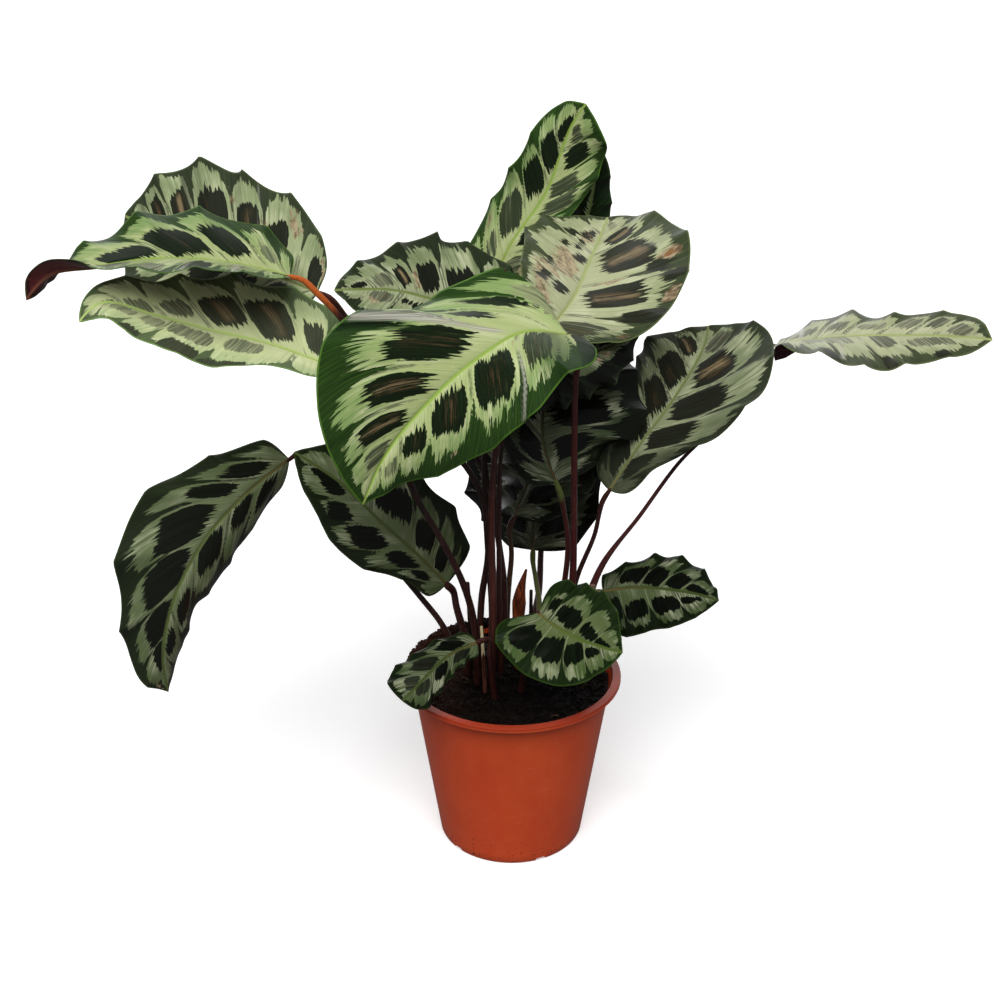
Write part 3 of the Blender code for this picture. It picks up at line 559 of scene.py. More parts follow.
# Remains of older growth: points from just above the soil to the cut or dried end, and radii, in mm
REMAINS = {
    "stub_left": (((-25, 16), (-27, 14, 150), (-28, 13, 172)), (1.8, 1.6, 1.2)),
    "stub_middle": (((-17, -20), (-18, -19, 138), (-19, -18, 157)), (1.3, 1.2, 0.8)),
    "stub_right": (((48, 5), (50, 5, 150), (51, 5, 174)), (2.6, 2.3, 1.8)),
    "stub_dark": (((12, 1), (12, 0, 150), (12, 0, 173)), (1.6, 1.4, 1.0)),
    "dried_sheath": (((4, 8), (4, 6, 150), (5, 5, 168), (9, 5, 185)), (2.4, 3.0, 4.2, 0.7)),
}


def tint(red, green, blue):
    """A colour given as 0 to 255 on screen, as the shader wants it."""
    def linear(value):
        share = value / 255
        return share / 12.92 if share <= 0.04045 else ((share + 0.055) / 1.055) ** 2.4
    return linear(red), linear(green), linear(blue), 1.0


def toned(colour, tone):
    """A colour made lighter or darker."""
    return tuple(value * tone for value in colour[:3]) + (1.0,)


def blend_colours(one, two, share):
    return tuple(a + (b - a) * share for a, b in zip(one, two))


class Flow:
    """A socket in a node tree. Sums on it add Math nodes, and node() adds a node of any other kind."""

    def __init__(self, tree, socket=None):
        self.tree = tree
        self.socket = socket

    def fill(self, target, value):
        if isinstance(value, Flow):
            self.tree.links.new(value.socket, target)
        else:
            target.default_value = value

    def node(self, kind, settings=None, inputs=None, output=0):
        made = self.tree.nodes.new(kind)
        for name, value in (settings or {}).items():
            setattr(made, name, value)
        for place, value in (inputs or {}).items():
            self.fill(made.inputs[place], value)
        return Flow(self.tree, made.outputs[output])

    def math(self, operation, *values):
        return self.node("ShaderNodeMath", {"operation": operation}, dict(enumerate(values)))

    def __add__(self, other):
        return self.math("ADD", self, other)

    def __radd__(self, other):
        return self.math("ADD", other, self)

    def __sub__(self, other):
        return self.math("SUBTRACT", self, other)

    def __rsub__(self, other):
        return self.math("SUBTRACT", other, self)

    def __mul__(self, other):
        return self.math("MULTIPLY", self, other)

    def __rmul__(self, other):
        return self.math("MULTIPLY", other, self)

    def __pow__(self, other):
        return self.math("POWER", self, other)

    def rise(self, low, high):
        """0 below low, 1 above high, smooth between; with low above high it falls."""
        return self.node("ShaderNodeMapRange", {"interpolation_type": "SMOOTHSTEP"},
                         {"Value": self, "From Min": low, "From Max": high})

    def mix(self, below, above):
        """The colour below where this is 0 and above where it is 1."""
        return self.node("ShaderNodeMix", {"data_type": "RGBA"}, {0: self, 6: below, 7: above}, 2)

    def scaled(self, sizes):
        return self.node("ShaderNodeVectorMath", {"operation": "MULTIPLY"}, {0: self, 1: sizes})

    def grain(self, scale, detail=2.0, roughness=0.5, distortion=0.0):
        """Noise at this place, about 0.5."""
        return self.node("ShaderNodeTexNoise", {}, {"Vector": self, "Scale": scale, "Detail": detail,
                                                    "Roughness": roughness, "Distortion": distortion})

    def long(self):
        return self.node("ShaderNodeVectorMath", {"operation": "LENGTH"}, {0: self}, "Value")

    def part(self, axis):
        return self.node("ShaderNodeSeparateXYZ", {}, {0: self}, axis)

    def attribute(self, name, output="Vector"):
        return self.node("ShaderNodeAttribute", {"attribute_name": name}, {}, output)

    def place(self):
        return self.node("ShaderNodeTexCoord", {}, {}, "Object")

    def relief(self, depth, strength=1.0):
        """This as a height in a bump, depth in metres."""
        return self.node("ShaderNodeBump", {}, {"Height": self, "Distance": depth, "Strength": strength})


def new_finish(name):
    """A material, its flow and its shader."""
    material = bpy.data.materials.new(name)
    material.use_nodes = True
    return material, Flow(material.node_tree), material.node_tree.nodes["Principled BSDF"]


def dress(flow, shader, **sockets):
    """Sets or links the shader's sockets, each by its name."""
    for name, value in sockets.items():
        flow.fill(shader.inputs[name.replace("_", " ").title().replace("Ior", "IOR")], value)


# Leaf finishes


class Palette(NamedTuple):
    """Colours of a leaf's upper face."""
    light: tuple
    fresh: tuple
    band: tuple
    edge: tuple
    blotch: tuple
    rib: tuple


# The leaf_shaded colours are darker copies, partly painted shade of the leaves deep inside the plant
PALETTES = {
    "leaf_bright": Palette(tint(169, 179, 122), tint(106, 138, 76), tint(24, 46, 16), tint(70, 104, 34),
                           tint(14, 19, 10), tint(142, 168, 80)),
    "leaf_pale": Palette(tint(180, 184, 142), tint(140, 152, 108), tint(34, 46, 24), tint(84, 98, 52),
                         tint(16, 17, 11), tint(160, 172, 108)),
    "leaf_dark": Palette(tint(152, 162, 120), tint(100, 119, 76), tint(18, 30, 15), tint(50, 68, 30),
                         tint(11, 14, 9), tint(116, 132, 70)),
    "leaf_shaded": Palette(tint(120, 136, 96), tint(76, 96, 60), tint(12, 24, 13), tint(38, 54, 26),
                           tint(8, 10, 7), tint(90, 104, 56)),
}
GREY = tint(138, 138, 116)
LEAF_GREEN = tint(112, 152, 66)
SILVER = tint(226, 228, 196)
BROWN_STREAK = tint(84, 64, 42)
BROWN_LIGHT = tint(140, 122, 90)
TAN = tint(176, 158, 126)
TAN_DARK = tint(104, 82, 60)
DRY = tint(132, 96, 62)
# Colours of the painted highlight strips on fold crests
PAINTED_SHEEN_DULL = tint(142, 138, 122)
PAINTED_SHEEN_PALE = tint(204, 202, 190)

# How far each colour of a palette goes towards grey and towards green
GREY_SHARES = (0.7, 0.8, 0.25, 0.3, 0.12, 0.5)
GREEN_SHARES = (1.0, 0.8, 0.1, 0.3, 0.0, 0.5)

VEIN_SHOW = 0.85
VEIN_FAINT = 0.35
SHADED_TONE = 0.7
LEAF_ROUGH = 0.36
SHADED_ROUGH = 0.2
LEAF_RELIEF = 0.0004

# Grains of a leaf, in waves a metre along the leaf and along its veins; the third keeps leaves apart
TEETH_GRAIN = (600.0, 30.0, 1.0)
STRAND_GRAIN = (1500.0, 30.0, 1.0)
WANDER_GRAIN = (110.0, 70.0, 1.0)
BROAD_GRAIN = (60.0, 40.0, 1.0)
STRIPE_GRAIN = (720.0, 16.0, 1.0)
STREAK_GRAIN = (620.0, 30.0, 1.0)
DRY_GRAIN = (260.0, 60.0, 1.0)
TAN_GRAIN = (330.0, 120.0, 1.0)
LEAF_APART = 3.0

# The underside: fibres dark and light, tongues, blotches, dry patches, edge and midrib
MAROON_DARK = tint(96, 32, 38)
MAROON = tint(118, 48, 48)
MAROON_TONGUE = tint(58, 18, 26)
MAROON_BLOTCH = tint(44, 14, 22)
MAROON_DRY = tint(140, 90, 62)
MAROON_EDGE = tint(74, 62, 30)
MAROON_RIB = tint(128, 76, 58)


def leaf_palette(leaf):
    """The colours of one leaf: its slot's, faded and freshened, then lightened or darkened by its tone,
    partly painted light and shade.
    """
    look = PALETTES[leaf.slot]
    for aim, amount, shares in ((GREY, leaf.grey, GREY_SHARES), (LEAF_GREEN, leaf.green, GREEN_SHARES)):
        look = [blend_colours(colour, aim, amount * share) for colour, share in zip(look, shares)]
    return Palette(*(toned(colour, leaf.tone) for colour in look))


def leaf_masks(flow, ragged):
    """The parts of a leaf's markings, feathered along its veins."""
    way = flow.attribute("way")
    marks = flow.attribute("marks")
    span = flow.attribute("span")
    ageing = flow.attribute("ageing")
    teeth = way.scaled(TEETH_GRAIN).grain(1.0, 3.0, 0.55) - 0.5
    strands = way.scaled(STRAND_GRAIN).grain(1.0, 2.0, 0.6)
    wander = way.scaled(WANDER_GRAIN).grain(1.0, 2.0) - 0.5
    return {
        "way": way, "teeth": teeth, "strands": strands, "wander": wander,
        "fibres": strands.rise(0.36, 0.66),
        "blotch": (marks.part(0) + teeth * (0.4 * ragged) + wander * 0.12).rise(-0.008, 0.012),
        "tongue": (marks.part(1) + teeth * (0.55 * ragged) + wander * 0.24).rise(-0.008, 0.012),
        "core": (marks.part(0) + wander * 0.1).rise(0.02, 0.12),
        "seam": marks.part(2), "rib": span.part(0), "edge": span.part(1), "across": span.part(2),
        "brown": ageing.part(0), "fade": ageing.part(1), "dried": ageing.part(2),
    }


def tongue_colours(masks, look, broad, stripes, vein):
    """The pale tongues: greener towards the margin, silvery in stripes, with painted shadow lines beside
    each side vein.
    """
    outer = (masks["across"] + masks["wander"] * 0.8).rise(0.25, 0.9)
    silver = blend_colours(look.light, SILVER, 0.3)
    fresh = outer * 0.62 + masks["fibres"] * 0.2 + stripes.rise(0.5, 0.68) * 0.38
    light = fresh.mix(look.light, look.fresh)
    light = (broad.rise(0.42, 0.7) * stripes.rise(0.62, 0.42)).mix(light, silver)
    light = vein.mix(light, silver)
    # A dark line of painted shadow beside each side vein, where its groove would shade the blade
    beside = masks["seam"].rise(0.0003, 0.0007) * masks["seam"].rise(0.0021, 0.0010)
    beside = beside * masks["across"].rise(0.88, 0.55)
    return (beside * broad.rise(0.44, 0.58) * 0.7).mix(light, look.band)


def blotch_colours(masks, look, grey, stripes):
    """The dark blotches: fibrous, some faded in bars, some with brown streaks."""
    blotch = masks["fibres"].mix(look.blotch, blend_colours(look.blotch, look.band, 0.6))
    bars = (stripes + masks["fade"] * 0.22).rise(0.6, 0.68) * masks["fade"].rise(0.05, 0.4)
    blotch = (masks["fade"] * 0.62).mix(blotch, blend_colours(look.fresh, grey, 0.6))
    blotch = (bars * 0.6).mix(blotch, blend_colours(look.light, grey, 0.45))
    aged = masks["brown"]
    streaks = (masks["way"].scaled(STREAK_GRAIN).grain(1.0, 5.0, 0.75) + aged * 0.24).rise(0.60, 0.74)
    return (streaks * aged.rise(0.02, 0.2) * masks["core"] * 0.85).mix(
        blotch, aged.rise(0.4, 0.95).mix(BROWN_STREAK, BROWN_LIGHT))


def with_dry_patches(masks, colour):
    """Tan patches beside the blotches, and brown where a patch is dead."""
    way = masks["way"]
    dried = masks["dried"] + (way.scaled(DRY_GRAIN).grain(1.0, 4.0, 0.65) - 0.5) * 1.8
    tan = way.scaled(TAN_GRAIN).grain(1.0, 4.0, 0.7).rise(0.42, 0.6).mix(TAN, TAN_DARK)
    colour = (dried.rise(0.42, 0.62) * masks["blotch"].rise(1.0, 0.3) * 0.85).mix(colour, tan)
    return dried.rise(1.15, 1.35).mix(colour, DRY)


def leaf_top(name, leaf):
    """The upper face: pale feathered tongues, dark blotches, green margin, yellow-green midrib, painted
    highlights and painted shade.
    """
    look = leaf_palette(leaf)
    # The grey of faded blotches darkens with a dark leaf's tone, partly painted shade
    grey = toned(GREY, min(leaf.tone, 1.0))
    material, flow, shader = new_finish(name)
    masks = leaf_masks(flow, leaf.ragged)
    way, strands, wander, fibres = masks["way"], masks["strands"], masks["wander"], masks["fibres"]
    broad = way.scaled(BROAD_GRAIN).grain(1.0, 3.0)
    stripes = way.scaled(STRIPE_GRAIN).grain(1.0, 3.0, 0.6)
    vein = masks["seam"].rise(0.0006, 0.0002) * masks["across"].rise(0.88, 0.55)
    # Pale veins are fainter on leaves toned below SHADED_TONE, as painted shade
    vein = vein * (VEIN_SHOW if leaf.tone > SHADED_TONE else VEIN_FAINT)
    light = tongue_colours(masks, look, broad, stripes, vein)
    band = (fibres * 0.5 + stripes.rise(0.45, 0.65) * 0.5).mix(
        look.band, blend_colours(look.band, look.edge, 0.45))
    colour = masks["tongue"].mix(band, light)
    blotch = blotch_colours(masks, look, grey, stripes)
    colour = (masks["blotch"] * (1.0 - vein)).mix(colour, blotch)
    colour = with_dry_patches(masks, colour)
    # Painted light from the fold table: painted shade where it is below 0, a pale painted highlight strip
    # where above
    bend = flow.attribute("painted_fold_light").part(0)
    colour = ((bend * -1.0).rise(0.05, 0.9) * 0.75).mix(colour, look.band)
    painted_shine = (bend + (stripes - 0.5) * 0.9 + (broad - 0.5) * 0.5).rise(0.3, 0.95)
    colour = (painted_shine * 0.8).mix(colour, strands.rise(0.4, 0.62).mix(PAINTED_SHEEN_DULL, PAINTED_SHEEN_PALE))
    colour = (masks["edge"] + wander * 0.0008).rise(0.0013, 0.0006).mix(colour, look.edge)
    colour = (masks["rib"] + wander * 0.0006).rise(0.0014, 0.0008).mix(colour, look.rib)
    rough = SHADED_ROUGH if leaf.slot == "leaf_shaded" else LEAF_ROUGH
    rough = rough + (broad - 0.5) * 0.2 + (strands - 0.5) * 0.12 - painted_shine * 0.1
    height = strands * 0.4 + masks["seam"].rise(0.0, 0.0012) * 0.5 + masks["teeth"] * 0.6
    dress(flow, shader, base_color=colour, roughness=rough, specular_ior_level=leaf.gloss,
          normal=height.relief(LEAF_RELIEF, 0.5))
    return material


def leaf_underside(name, leaf):
    """The lower face: maroon, with the markings showing darker through it."""
    material, flow, shader = new_finish(name)
    masks = leaf_masks(flow, leaf.ragged)
    colour = masks["tongue"].mix(MAROON_TONGUE, masks["fibres"].mix(MAROON_DARK, MAROON))
    colour = masks["blotch"].mix(colour, MAROON_BLOTCH)
    colour = (masks["dried"] * 0.5).mix(colour, MAROON_DRY)
    colour = masks["edge"].rise(0.0014, 0.0006).mix(colour, MAROON_EDGE)
    colour = masks["rib"].rise(0.0016, 0.0009).mix(colour, MAROON_RIB)
    height = masks["strands"] * 0.4 + masks["seam"].rise(0.0012, 0.0) * 0.6
    dress(flow, shader, base_color=colour, roughness=0.46 + (masks["strands"] - 0.5) * 0.15,
          normal=height.relief(LEAF_RELIEF, 0.5))
    return material


# Leaf shapes


def unit(vectors):
    return vectors / np.maximum(np.linalg.norm(vectors, axis=-1, keepdims=True), 1e-12)


def smooth_path(points, count):
    """Evenly spaced points on a smooth curve through the given ones, and its length."""
    points = np.asarray(points, float)
    knots = np.concatenate(([0.0], np.cumsum(np.linalg.norm(np.diff(points, axis=0), axis=1) ** 0.75)))
    spans = np.diff(knots)
    slopes = np.diff(points, axis=0) / spans[:, None]
    tangents = np.empty_like(points)
    weights = spans[:-1] + spans[1:]
    tangents[1:-1] = (slopes[:-1] * spans[1:, None] + slopes[1:] * spans[:-1, None]) / weights[:, None]
    tangents[0] = 1.5 * slopes[0] - 0.5 * tangents[1]
    tangents[-1] = 1.5 * slopes[-1] - 0.5 * tangents[-2]
    at = np.linspace(0, knots[-1], 30 * len(spans) + 1)
    span = np.clip(np.searchsorted(knots, at, side="right") - 1, 0, len(spans) - 1)
    width = spans[span][:, None]
    u = (at - knots[span])[:, None] / width
    rise = u * u * (3 - 2 * u)
    curve = points[span] * (1 - rise) + points[span + 1] * rise
    curve += width * (tangents[span] * u * (1 - u) ** 2 - tangents[span + 1] * u * u * (1 - u))
    reach = np.concatenate(([0.0], np.cumsum(np.linalg.norm(np.diff(curve, axis=0), axis=1))))
    even = np.linspace(0, reach[-1], count)
    return np.stack([np.interp(even, reach, column) for column in curve.T], axis=-1), reach[-1]


class Rib:
    """A leaf's midrib with, all along it, the way it runs, the way the blade faces and its right."""

    def __init__(self, leaf):
        self.points, self.length = smooth_path(np.array(leaf.rib) * MM, 200)
        self.places = np.linspace(0, 1, len(self.points))
        self.along = unit(np.gradient(self.points, axis=0))
        level = unit(FACE_HINT - (self.along @ FACE_HINT)[:, None] * self.along)
        turn = np.radians(np.interp(self.places, np.linspace(0, 1, len(leaf.turn)), leaf.turn))[:, None]
        self.facing = level * np.cos(turn) + np.cross(self.along, level) * np.sin(turn)
        self.side = np.cross(self.along, self.facing)

    def read(self, rows, places):
        return np.stack([np.interp(places, self.places, column) for column in rows.T], axis=-1)

    def point(self, places):
        behind = np.minimum(places, 0)[:, None] * self.along[0] * self.length
        return self.read(self.points, places) + behind


def margin(widths, length, lobe):
    """The blade's edge on one side, as shares of the length and half widths in metres."""
    places = np.array(WIDTH_PLACES) * length
    places[0] -= lobe * length
    corners = [(0.0, 0.0), *zip(places, np.array(widths) * MM), (length, 0.0)]
    edge, _ = smooth_path(corners, 101)
    return edge / (length, 1.0)


def along_vein(q, across, sweep):
    """The place at the midrib where the side vein through a point starts."""
    return q - sweep * across ** 0.9 * (1 - q) ** 0.7


def blade_points(leaf, rib, q, t):
    """Points of the blade's middle surface: q runs from base to tip, t from left to right edge."""
    swept = q + 4 * VEIN_SWEEP * q * (1 - q)
    across = np.abs(t)
    place = np.zeros_like(q)
    half = np.zeros_like(q)
    rise = np.zeros_like(q)
    bend = np.zeros_like(q)
    lift = np.zeros_like(q)
    height = np.zeros_like(q)
    waves = swept * MARGIN_WAVES
    along_veins = along_vein(q, across, LIFT_SWEEP)
    for picked, widths, fold, droop, wave, shift, lobe, knots in zip(
            (t < 0, t >= 0), (leaf.left, leaf.right), leaf.fold, leaf.droop, leaf.wave, leaf.shift,
            leaf.lobe, leaf.lift):
        edge = margin(widths, rib.length, lobe)
        steps = np.linspace(0, 1, len(edge))
        edge_place = np.interp(swept[picked], steps, edge[:, 0])
        half[picked] = np.interp(swept[picked], steps, edge[:, 1]) + END_HALF_WIDTH
        place[picked] = q[picked] + (edge_place - q[picked]) * across[picked] ** 1.3
        rise[picked] = math.radians(fold)
        bend[picked] = math.radians(droop)
        height[picked] = wave * MM
        waves[picked] += shift
        if knots:
            start = np.clip(q[picked] / LIFT_START, 0, 1) ** 0.5
            lift[picked] = start * np.interp(along_veins[picked], *zip(*knots)) * MM
    slope = rise - bend * across
    out = half / bend * (np.sin(rise) - np.sin(slope))
    up = half / bend * (np.cos(slope) - np.cos(rise))
    height = height * np.sin(np.pi * np.clip(swept, 0, 1)) ** 0.6
    ripple = height * across ** 2 * (1 - 2 * np.abs(np.sin(np.pi * waves)) ** 0.85)
    raised = ripple + lift * across ** LIFT_GROWTH
    out = (out - raised * np.sin(slope) + SCALLOP * ripple * np.cos(slope)) * np.sign(t)
    up = up + raised * np.cos(slope) + SCALLOP * ripple * np.sin(slope)
    side = rib.read(rib.side, place)
    facing = rib.read(rib.facing, place)
    return rib.point(place) + out[:, None] * side + up[:, None] * facing


SIDE_FIELDS = ("blotch", "tongue", "seam", "brown", "fade", "share")


def side_marks(side, v, a, rng):
    """Fields over one half of a leaf, named in SIDE_FIELDS: above 0 inside a blotch or a tongue, the way
    to the nearest seam, the browning and fading of the blotches, and the share from seam to seam."""
    spots = [tuple(spot) + (0.0,) * (6 - len(spot)) for spot in side.blotches + side.extra]
    rows = spots[:len(side.blotches)]
    seams = [(one[1] + two[0]) / 2 for one, two in zip(rows, rows[1:])]
    first = rows[0][0] - 0.02
    seams = np.array([first - 0.45, first - 0.3, first - 0.15, first, *seams, rows[-1][1] + 0.02, 1.15])
    number = np.clip(np.searchsorted(seams, v) - 1, 0, len(seams) - 2)
    share = np.clip((v - seams[number]) / (seams[number + 1] - seams[number]), 0, 1)
    jitter = rng.uniform(-0.04, 0.03, len(seams))
    reach = side.reach + jitter[number] + side.base_reach * np.clip((0.14 - v) / 0.1, 0, 1)
    notch = np.clip(np.abs(2 * share - 0.96), 0, 1) ** 6
    tongue = reach * (1 - 0.52 * notch) * np.clip((0.985 - v) / 0.12, 0, 1) ** 0.6 - a
    seam = np.min(np.abs(v[:, None] - seams[None, :]), axis=1)
    blotch = np.full_like(v, -1.0)
    brown = np.zeros_like(v)
    fade = np.zeros_like(v)
    for low, high, inner, outer, streaks, paleness in spots:
        s = (v - (low + high) / 2) / ((high - low) / 2)
        half = (outer - inner) / 2
        middle = (outer + inner) / 2 - 0.3 * s * half
        bow = np.clip(1 - np.abs(s) ** 9, 0, 1) ** 0.5
        field = half * bow - np.abs(a - middle) - np.maximum(np.abs(s) - 1, 0) * 1.5
        nearer = field > blotch
        blotch = np.where(nearer, field, blotch)
        brown = np.where(nearer, streaks * np.exp(-((s + 0.1) / 0.5) ** 2), brown)
        fade = np.where(nearer, paleness, fade)
    return blotch, tongue, seam, brown, fade, share


def leaf_fields(name, rib, q, t, number):
    """Everything that a leaf's finish and relief read, at each point of its grid."""
    fields = {key: np.zeros_like(q) for key in ("v", *SIDE_FIELDS, "dried", "bend")}
    rng = np.random.default_rng(100 + number)
    for sign, side in zip((-1, 1), MARKS.get(name, (PLAIN_SIDE, PLAIN_SIDE))):
        picked = (t < 0) if sign < 0 else (t >= 0)
        a = np.abs(t[picked])
        v = along_vein(q[picked], a, side.sweep)
        for key, values in zip(SIDE_FIELDS, side_marks(side, v, a, rng)):
            fields[key][picked] = values
        fields["v"][picked] = v
        dried = np.zeros_like(v)
        for patch_side, place, across, spread, width, amount in DRIED.get(name, ()):
            if patch_side == sign:
                dried += amount * np.exp(-((v - place) / spread) ** 2 - ((a - across) / width) ** 2)
        fields["dried"][picked] = dried
        # Painted light and shade from the fold table: a highlight above 0, shade below
        bend = np.zeros_like(v)
        for bend_side, at_rib, at_margin, start, stop, spread, amount in PAINTED_FOLD_LIGHT.get(name, ()):
            if bend_side == sign:
                off = (v - at_rib - (at_margin - at_rib) * a) / (spread * (0.6 + 0.7 * a))
                ends = np.clip((a - start) / 0.08, 0, 1) * np.clip((stop - a) / 0.08 + 0.5, 0, 1)
                bend += amount * ends * np.exp(-off ** 2)
        fields["bend"][picked] = bend
    fields["seam"] *= rib.length
    return fields


def column_places():
    """Places across the blade, closer together at the midrib and at the edges."""
    steps = np.arange(SIDE_COLUMNS + 1) / SIDE_COLUMNS
    half = 0.7 * (1 - np.cos(np.pi * steps)) / 2 + 0.3 * steps
    return np.concatenate((-half[:0:-1], half))


def grid_faces(rows, columns, start, flip):
    """Faces between neighbouring points of a grid."""
    i, j = np.meshgrid(np.arange(rows - 1), np.arange(columns - 1), indexing="ij")
    first = (i * columns + j).ravel() + start
    quads = np.stack((first, first + 1, first + columns + 1, first + columns), axis=-1)
    return quads[:, ::-1] if flip else quads


def grid_outline(rows, columns):
    """Neighbouring pairs of points all round the edge of a grid."""
    loop = [*range(columns), *(i * columns + columns - 1 for i in range(1, rows)),
            *((rows - 1) * columns + j for j in range(columns - 2, -1, -1)),
            *(i * columns for i in range(rows - 2, 0, -1))]
    return zip(loop, loop[1:] + loop[:1])


def ring_faces(rings, sides, start=0):
    """Faces between neighbouring points of closed rings."""
    faces = []
    for ring in range(rings - 1):
        for k in range(sides):
            one = start + ring * sides + k
            two = start + ring * sides + (k + 1) % sides
            faces.append((one, two, two + sides, one + sides))
    return faces


def new_piece(name, points, faces, materials, face_materials=None, attributes=None):
    """A smooth piece from points and faces, with its finishes and what they read at each point."""
    mesh = bpy.data.meshes.new(name)
    mesh.from_pydata(points.tolist(), [], [tuple(map(int, face)) for face in faces])
    for material in materials:
        mesh.materials.append(material)
    if face_materials is not None:
        mesh.polygons.foreach_set("material_index", np.asarray(face_materials, dtype=np.int32))
    for key, values in (attributes or {}).items():
        store = mesh.attributes.new(key, "FLOAT_VECTOR", "POINT")
        store.data.foreach_set("vector", np.asarray(values, dtype=np.float32).ravel())
    mesh.shade_smooth()
    mesh.validate()
    piece = bpy.data.objects.new(name, mesh)
    bpy.context.scene.collection.objects.link(piece)
    return piece


def face_out(piece):
    """Turn a closed piece's faces outwards."""
    mesh = bmesh.new()
    mesh.from_mesh(piece.data)
    bmesh.ops.recalc_face_normals(mesh, faces=mesh.faces)
    mesh.to_mesh(piece.data)
    mesh.free()


def blade_relief(name, fields, q, t, from_rib, number):
    """How far the blade stands out of its smooth form: quilting, groove, creases and ripples."""
    a = np.abs(t)
    ends = np.clip(np.sin(np.pi * q) * 2.5, 0, 1)
    quilt = (1 - (2 * fields["share"] - 1) ** 2 - 0.5) * np.sin(np.pi * np.clip(a / 0.95, 0, 1)) ** 0.6
    groove = np.exp(-(from_rib / GROOVE_WIDTH) ** 2)
    relief = ends * (QUILT_RISE * quilt - GROOVE_DEPTH * groove)
    for side, place, spread, height, start in CREASES.get(name, ()):
        beside = np.abs(fields["v"] - place) / spread
        inward = np.clip((a - start) / 0.3, 0, 1) * (np.sign(t) == side)
        relief += ends * height * MM * inward * np.exp(-np.sqrt(beside ** 2 + 0.04) + 0.2)
    rng = np.random.default_rng(500 + number)
    for turns in RIPPLE_TURNS:
        phase = rng.uniform(0, 2 * np.pi)
        wave = np.sin(turns * np.pi * q + phase + np.sign(t))
        relief += ends * RIPPLE_MM * MM * a ** 2 * wave * RIPPLE_TURNS[0] / turns
    return relief


def make_blade(name, leaf, number):
    """A leaf blade: thin, quilted between its side veins, grooved at the midrib, ribbed below."""
    rib = Rib(leaf)
    places = column_places()
    rows, columns = BLADE_ROWS + 1, len(places)
    count = rows * columns
    q = np.repeat(np.linspace(0, 1, rows), columns)
    t = np.tile(places, rows)
    fields = leaf_fields(name, rib, q, t, number)
    points = blade_points(leaf, rib, q, t).reshape(rows, columns, 3)
    normals = unit(np.cross(np.gradient(points, axis=1), np.gradient(points, axis=0)))
    steps = np.linalg.norm(np.diff(points, axis=1), axis=2)
    out = np.concatenate((np.zeros((rows, 1)), np.cumsum(steps, axis=1)), axis=1)
    middle = out[:, SIDE_COLUMNS][:, None]
    from_rib = np.abs(out - middle).ravel()
    from_edge = np.where(out < middle, out, out[:, -1][:, None] - out).ravel()
    relief = blade_relief(name, fields, q, t, from_rib, number)
    points = points + relief.reshape(rows, columns, 1) * normals
    normals = unit(np.cross(np.gradient(points, axis=1), np.gradient(points, axis=0)))
    thick = MARGIN_THICKNESS + (BLADE_THICKNESS - MARGIN_THICKNESS) * np.clip(from_edge / (2 * MM), 0, 1)
    half = normals * thick.reshape(rows, columns, 1) / 2
    top = (points + half).reshape(-1, 3)
    below = (points - half).reshape(-1, 3)
    rim = [(one + count, two + count, two, one) for one, two in grid_outline(rows, columns)]
    tube, tube_faces, tube_places = rib_tube(points[:, SIDE_COLUMNS], normals[:, SIDE_COLUMNS], 2 * count)
    faces = [*grid_faces(rows, columns, 0, False), *grid_faces(rows, columns, count, True), *rim,
             *tube_faces]
    per_side = (rows - 1) * (columns - 1)
    materials = [0] * per_side + [1] * per_side + [0] * len(rim) + [1] * len(tube_faces)
    zeros = np.zeros_like(tube_places)
    apart = LEAF_APART * number
    blade_fields = {
        "way": (fields["v"] * rib.length, t * from_rib[t >= 0].max(), np.full_like(t, apart)),
        "marks": (fields["blotch"], fields["tongue"], fields["seam"]),
        "span": (from_rib, from_edge, np.abs(t)),
        "ageing": (fields["brown"], fields["fade"], fields["dried"]),
        "painted_fold_light": (fields["bend"],) * 3,
    }
    tube_fields = {
        "way": (tube_places * rib.length, zeros, zeros + apart),
        "marks": (zeros - 1.0, zeros + 1.0, zeros + 0.01),
        "span": (zeros, zeros + 0.02, zeros),
        "ageing": (zeros,) * 3,
        "painted_fold_light": (zeros,) * 3,
    }
    attributes = {}
    for key, values in blade_fields.items():
        sheet = np.stack(values, axis=-1)
        attributes[key] = np.concatenate((sheet, sheet, np.stack(tube_fields[key], axis=-1)))
    return new_piece(
        f"leaf_{name}", np.concatenate((top, below, tube)), faces,
        [leaf_top(f"leaf_top_{name}", leaf), leaf_underside(f"leaf_underside_{name}", leaf)], materials,
        attributes)


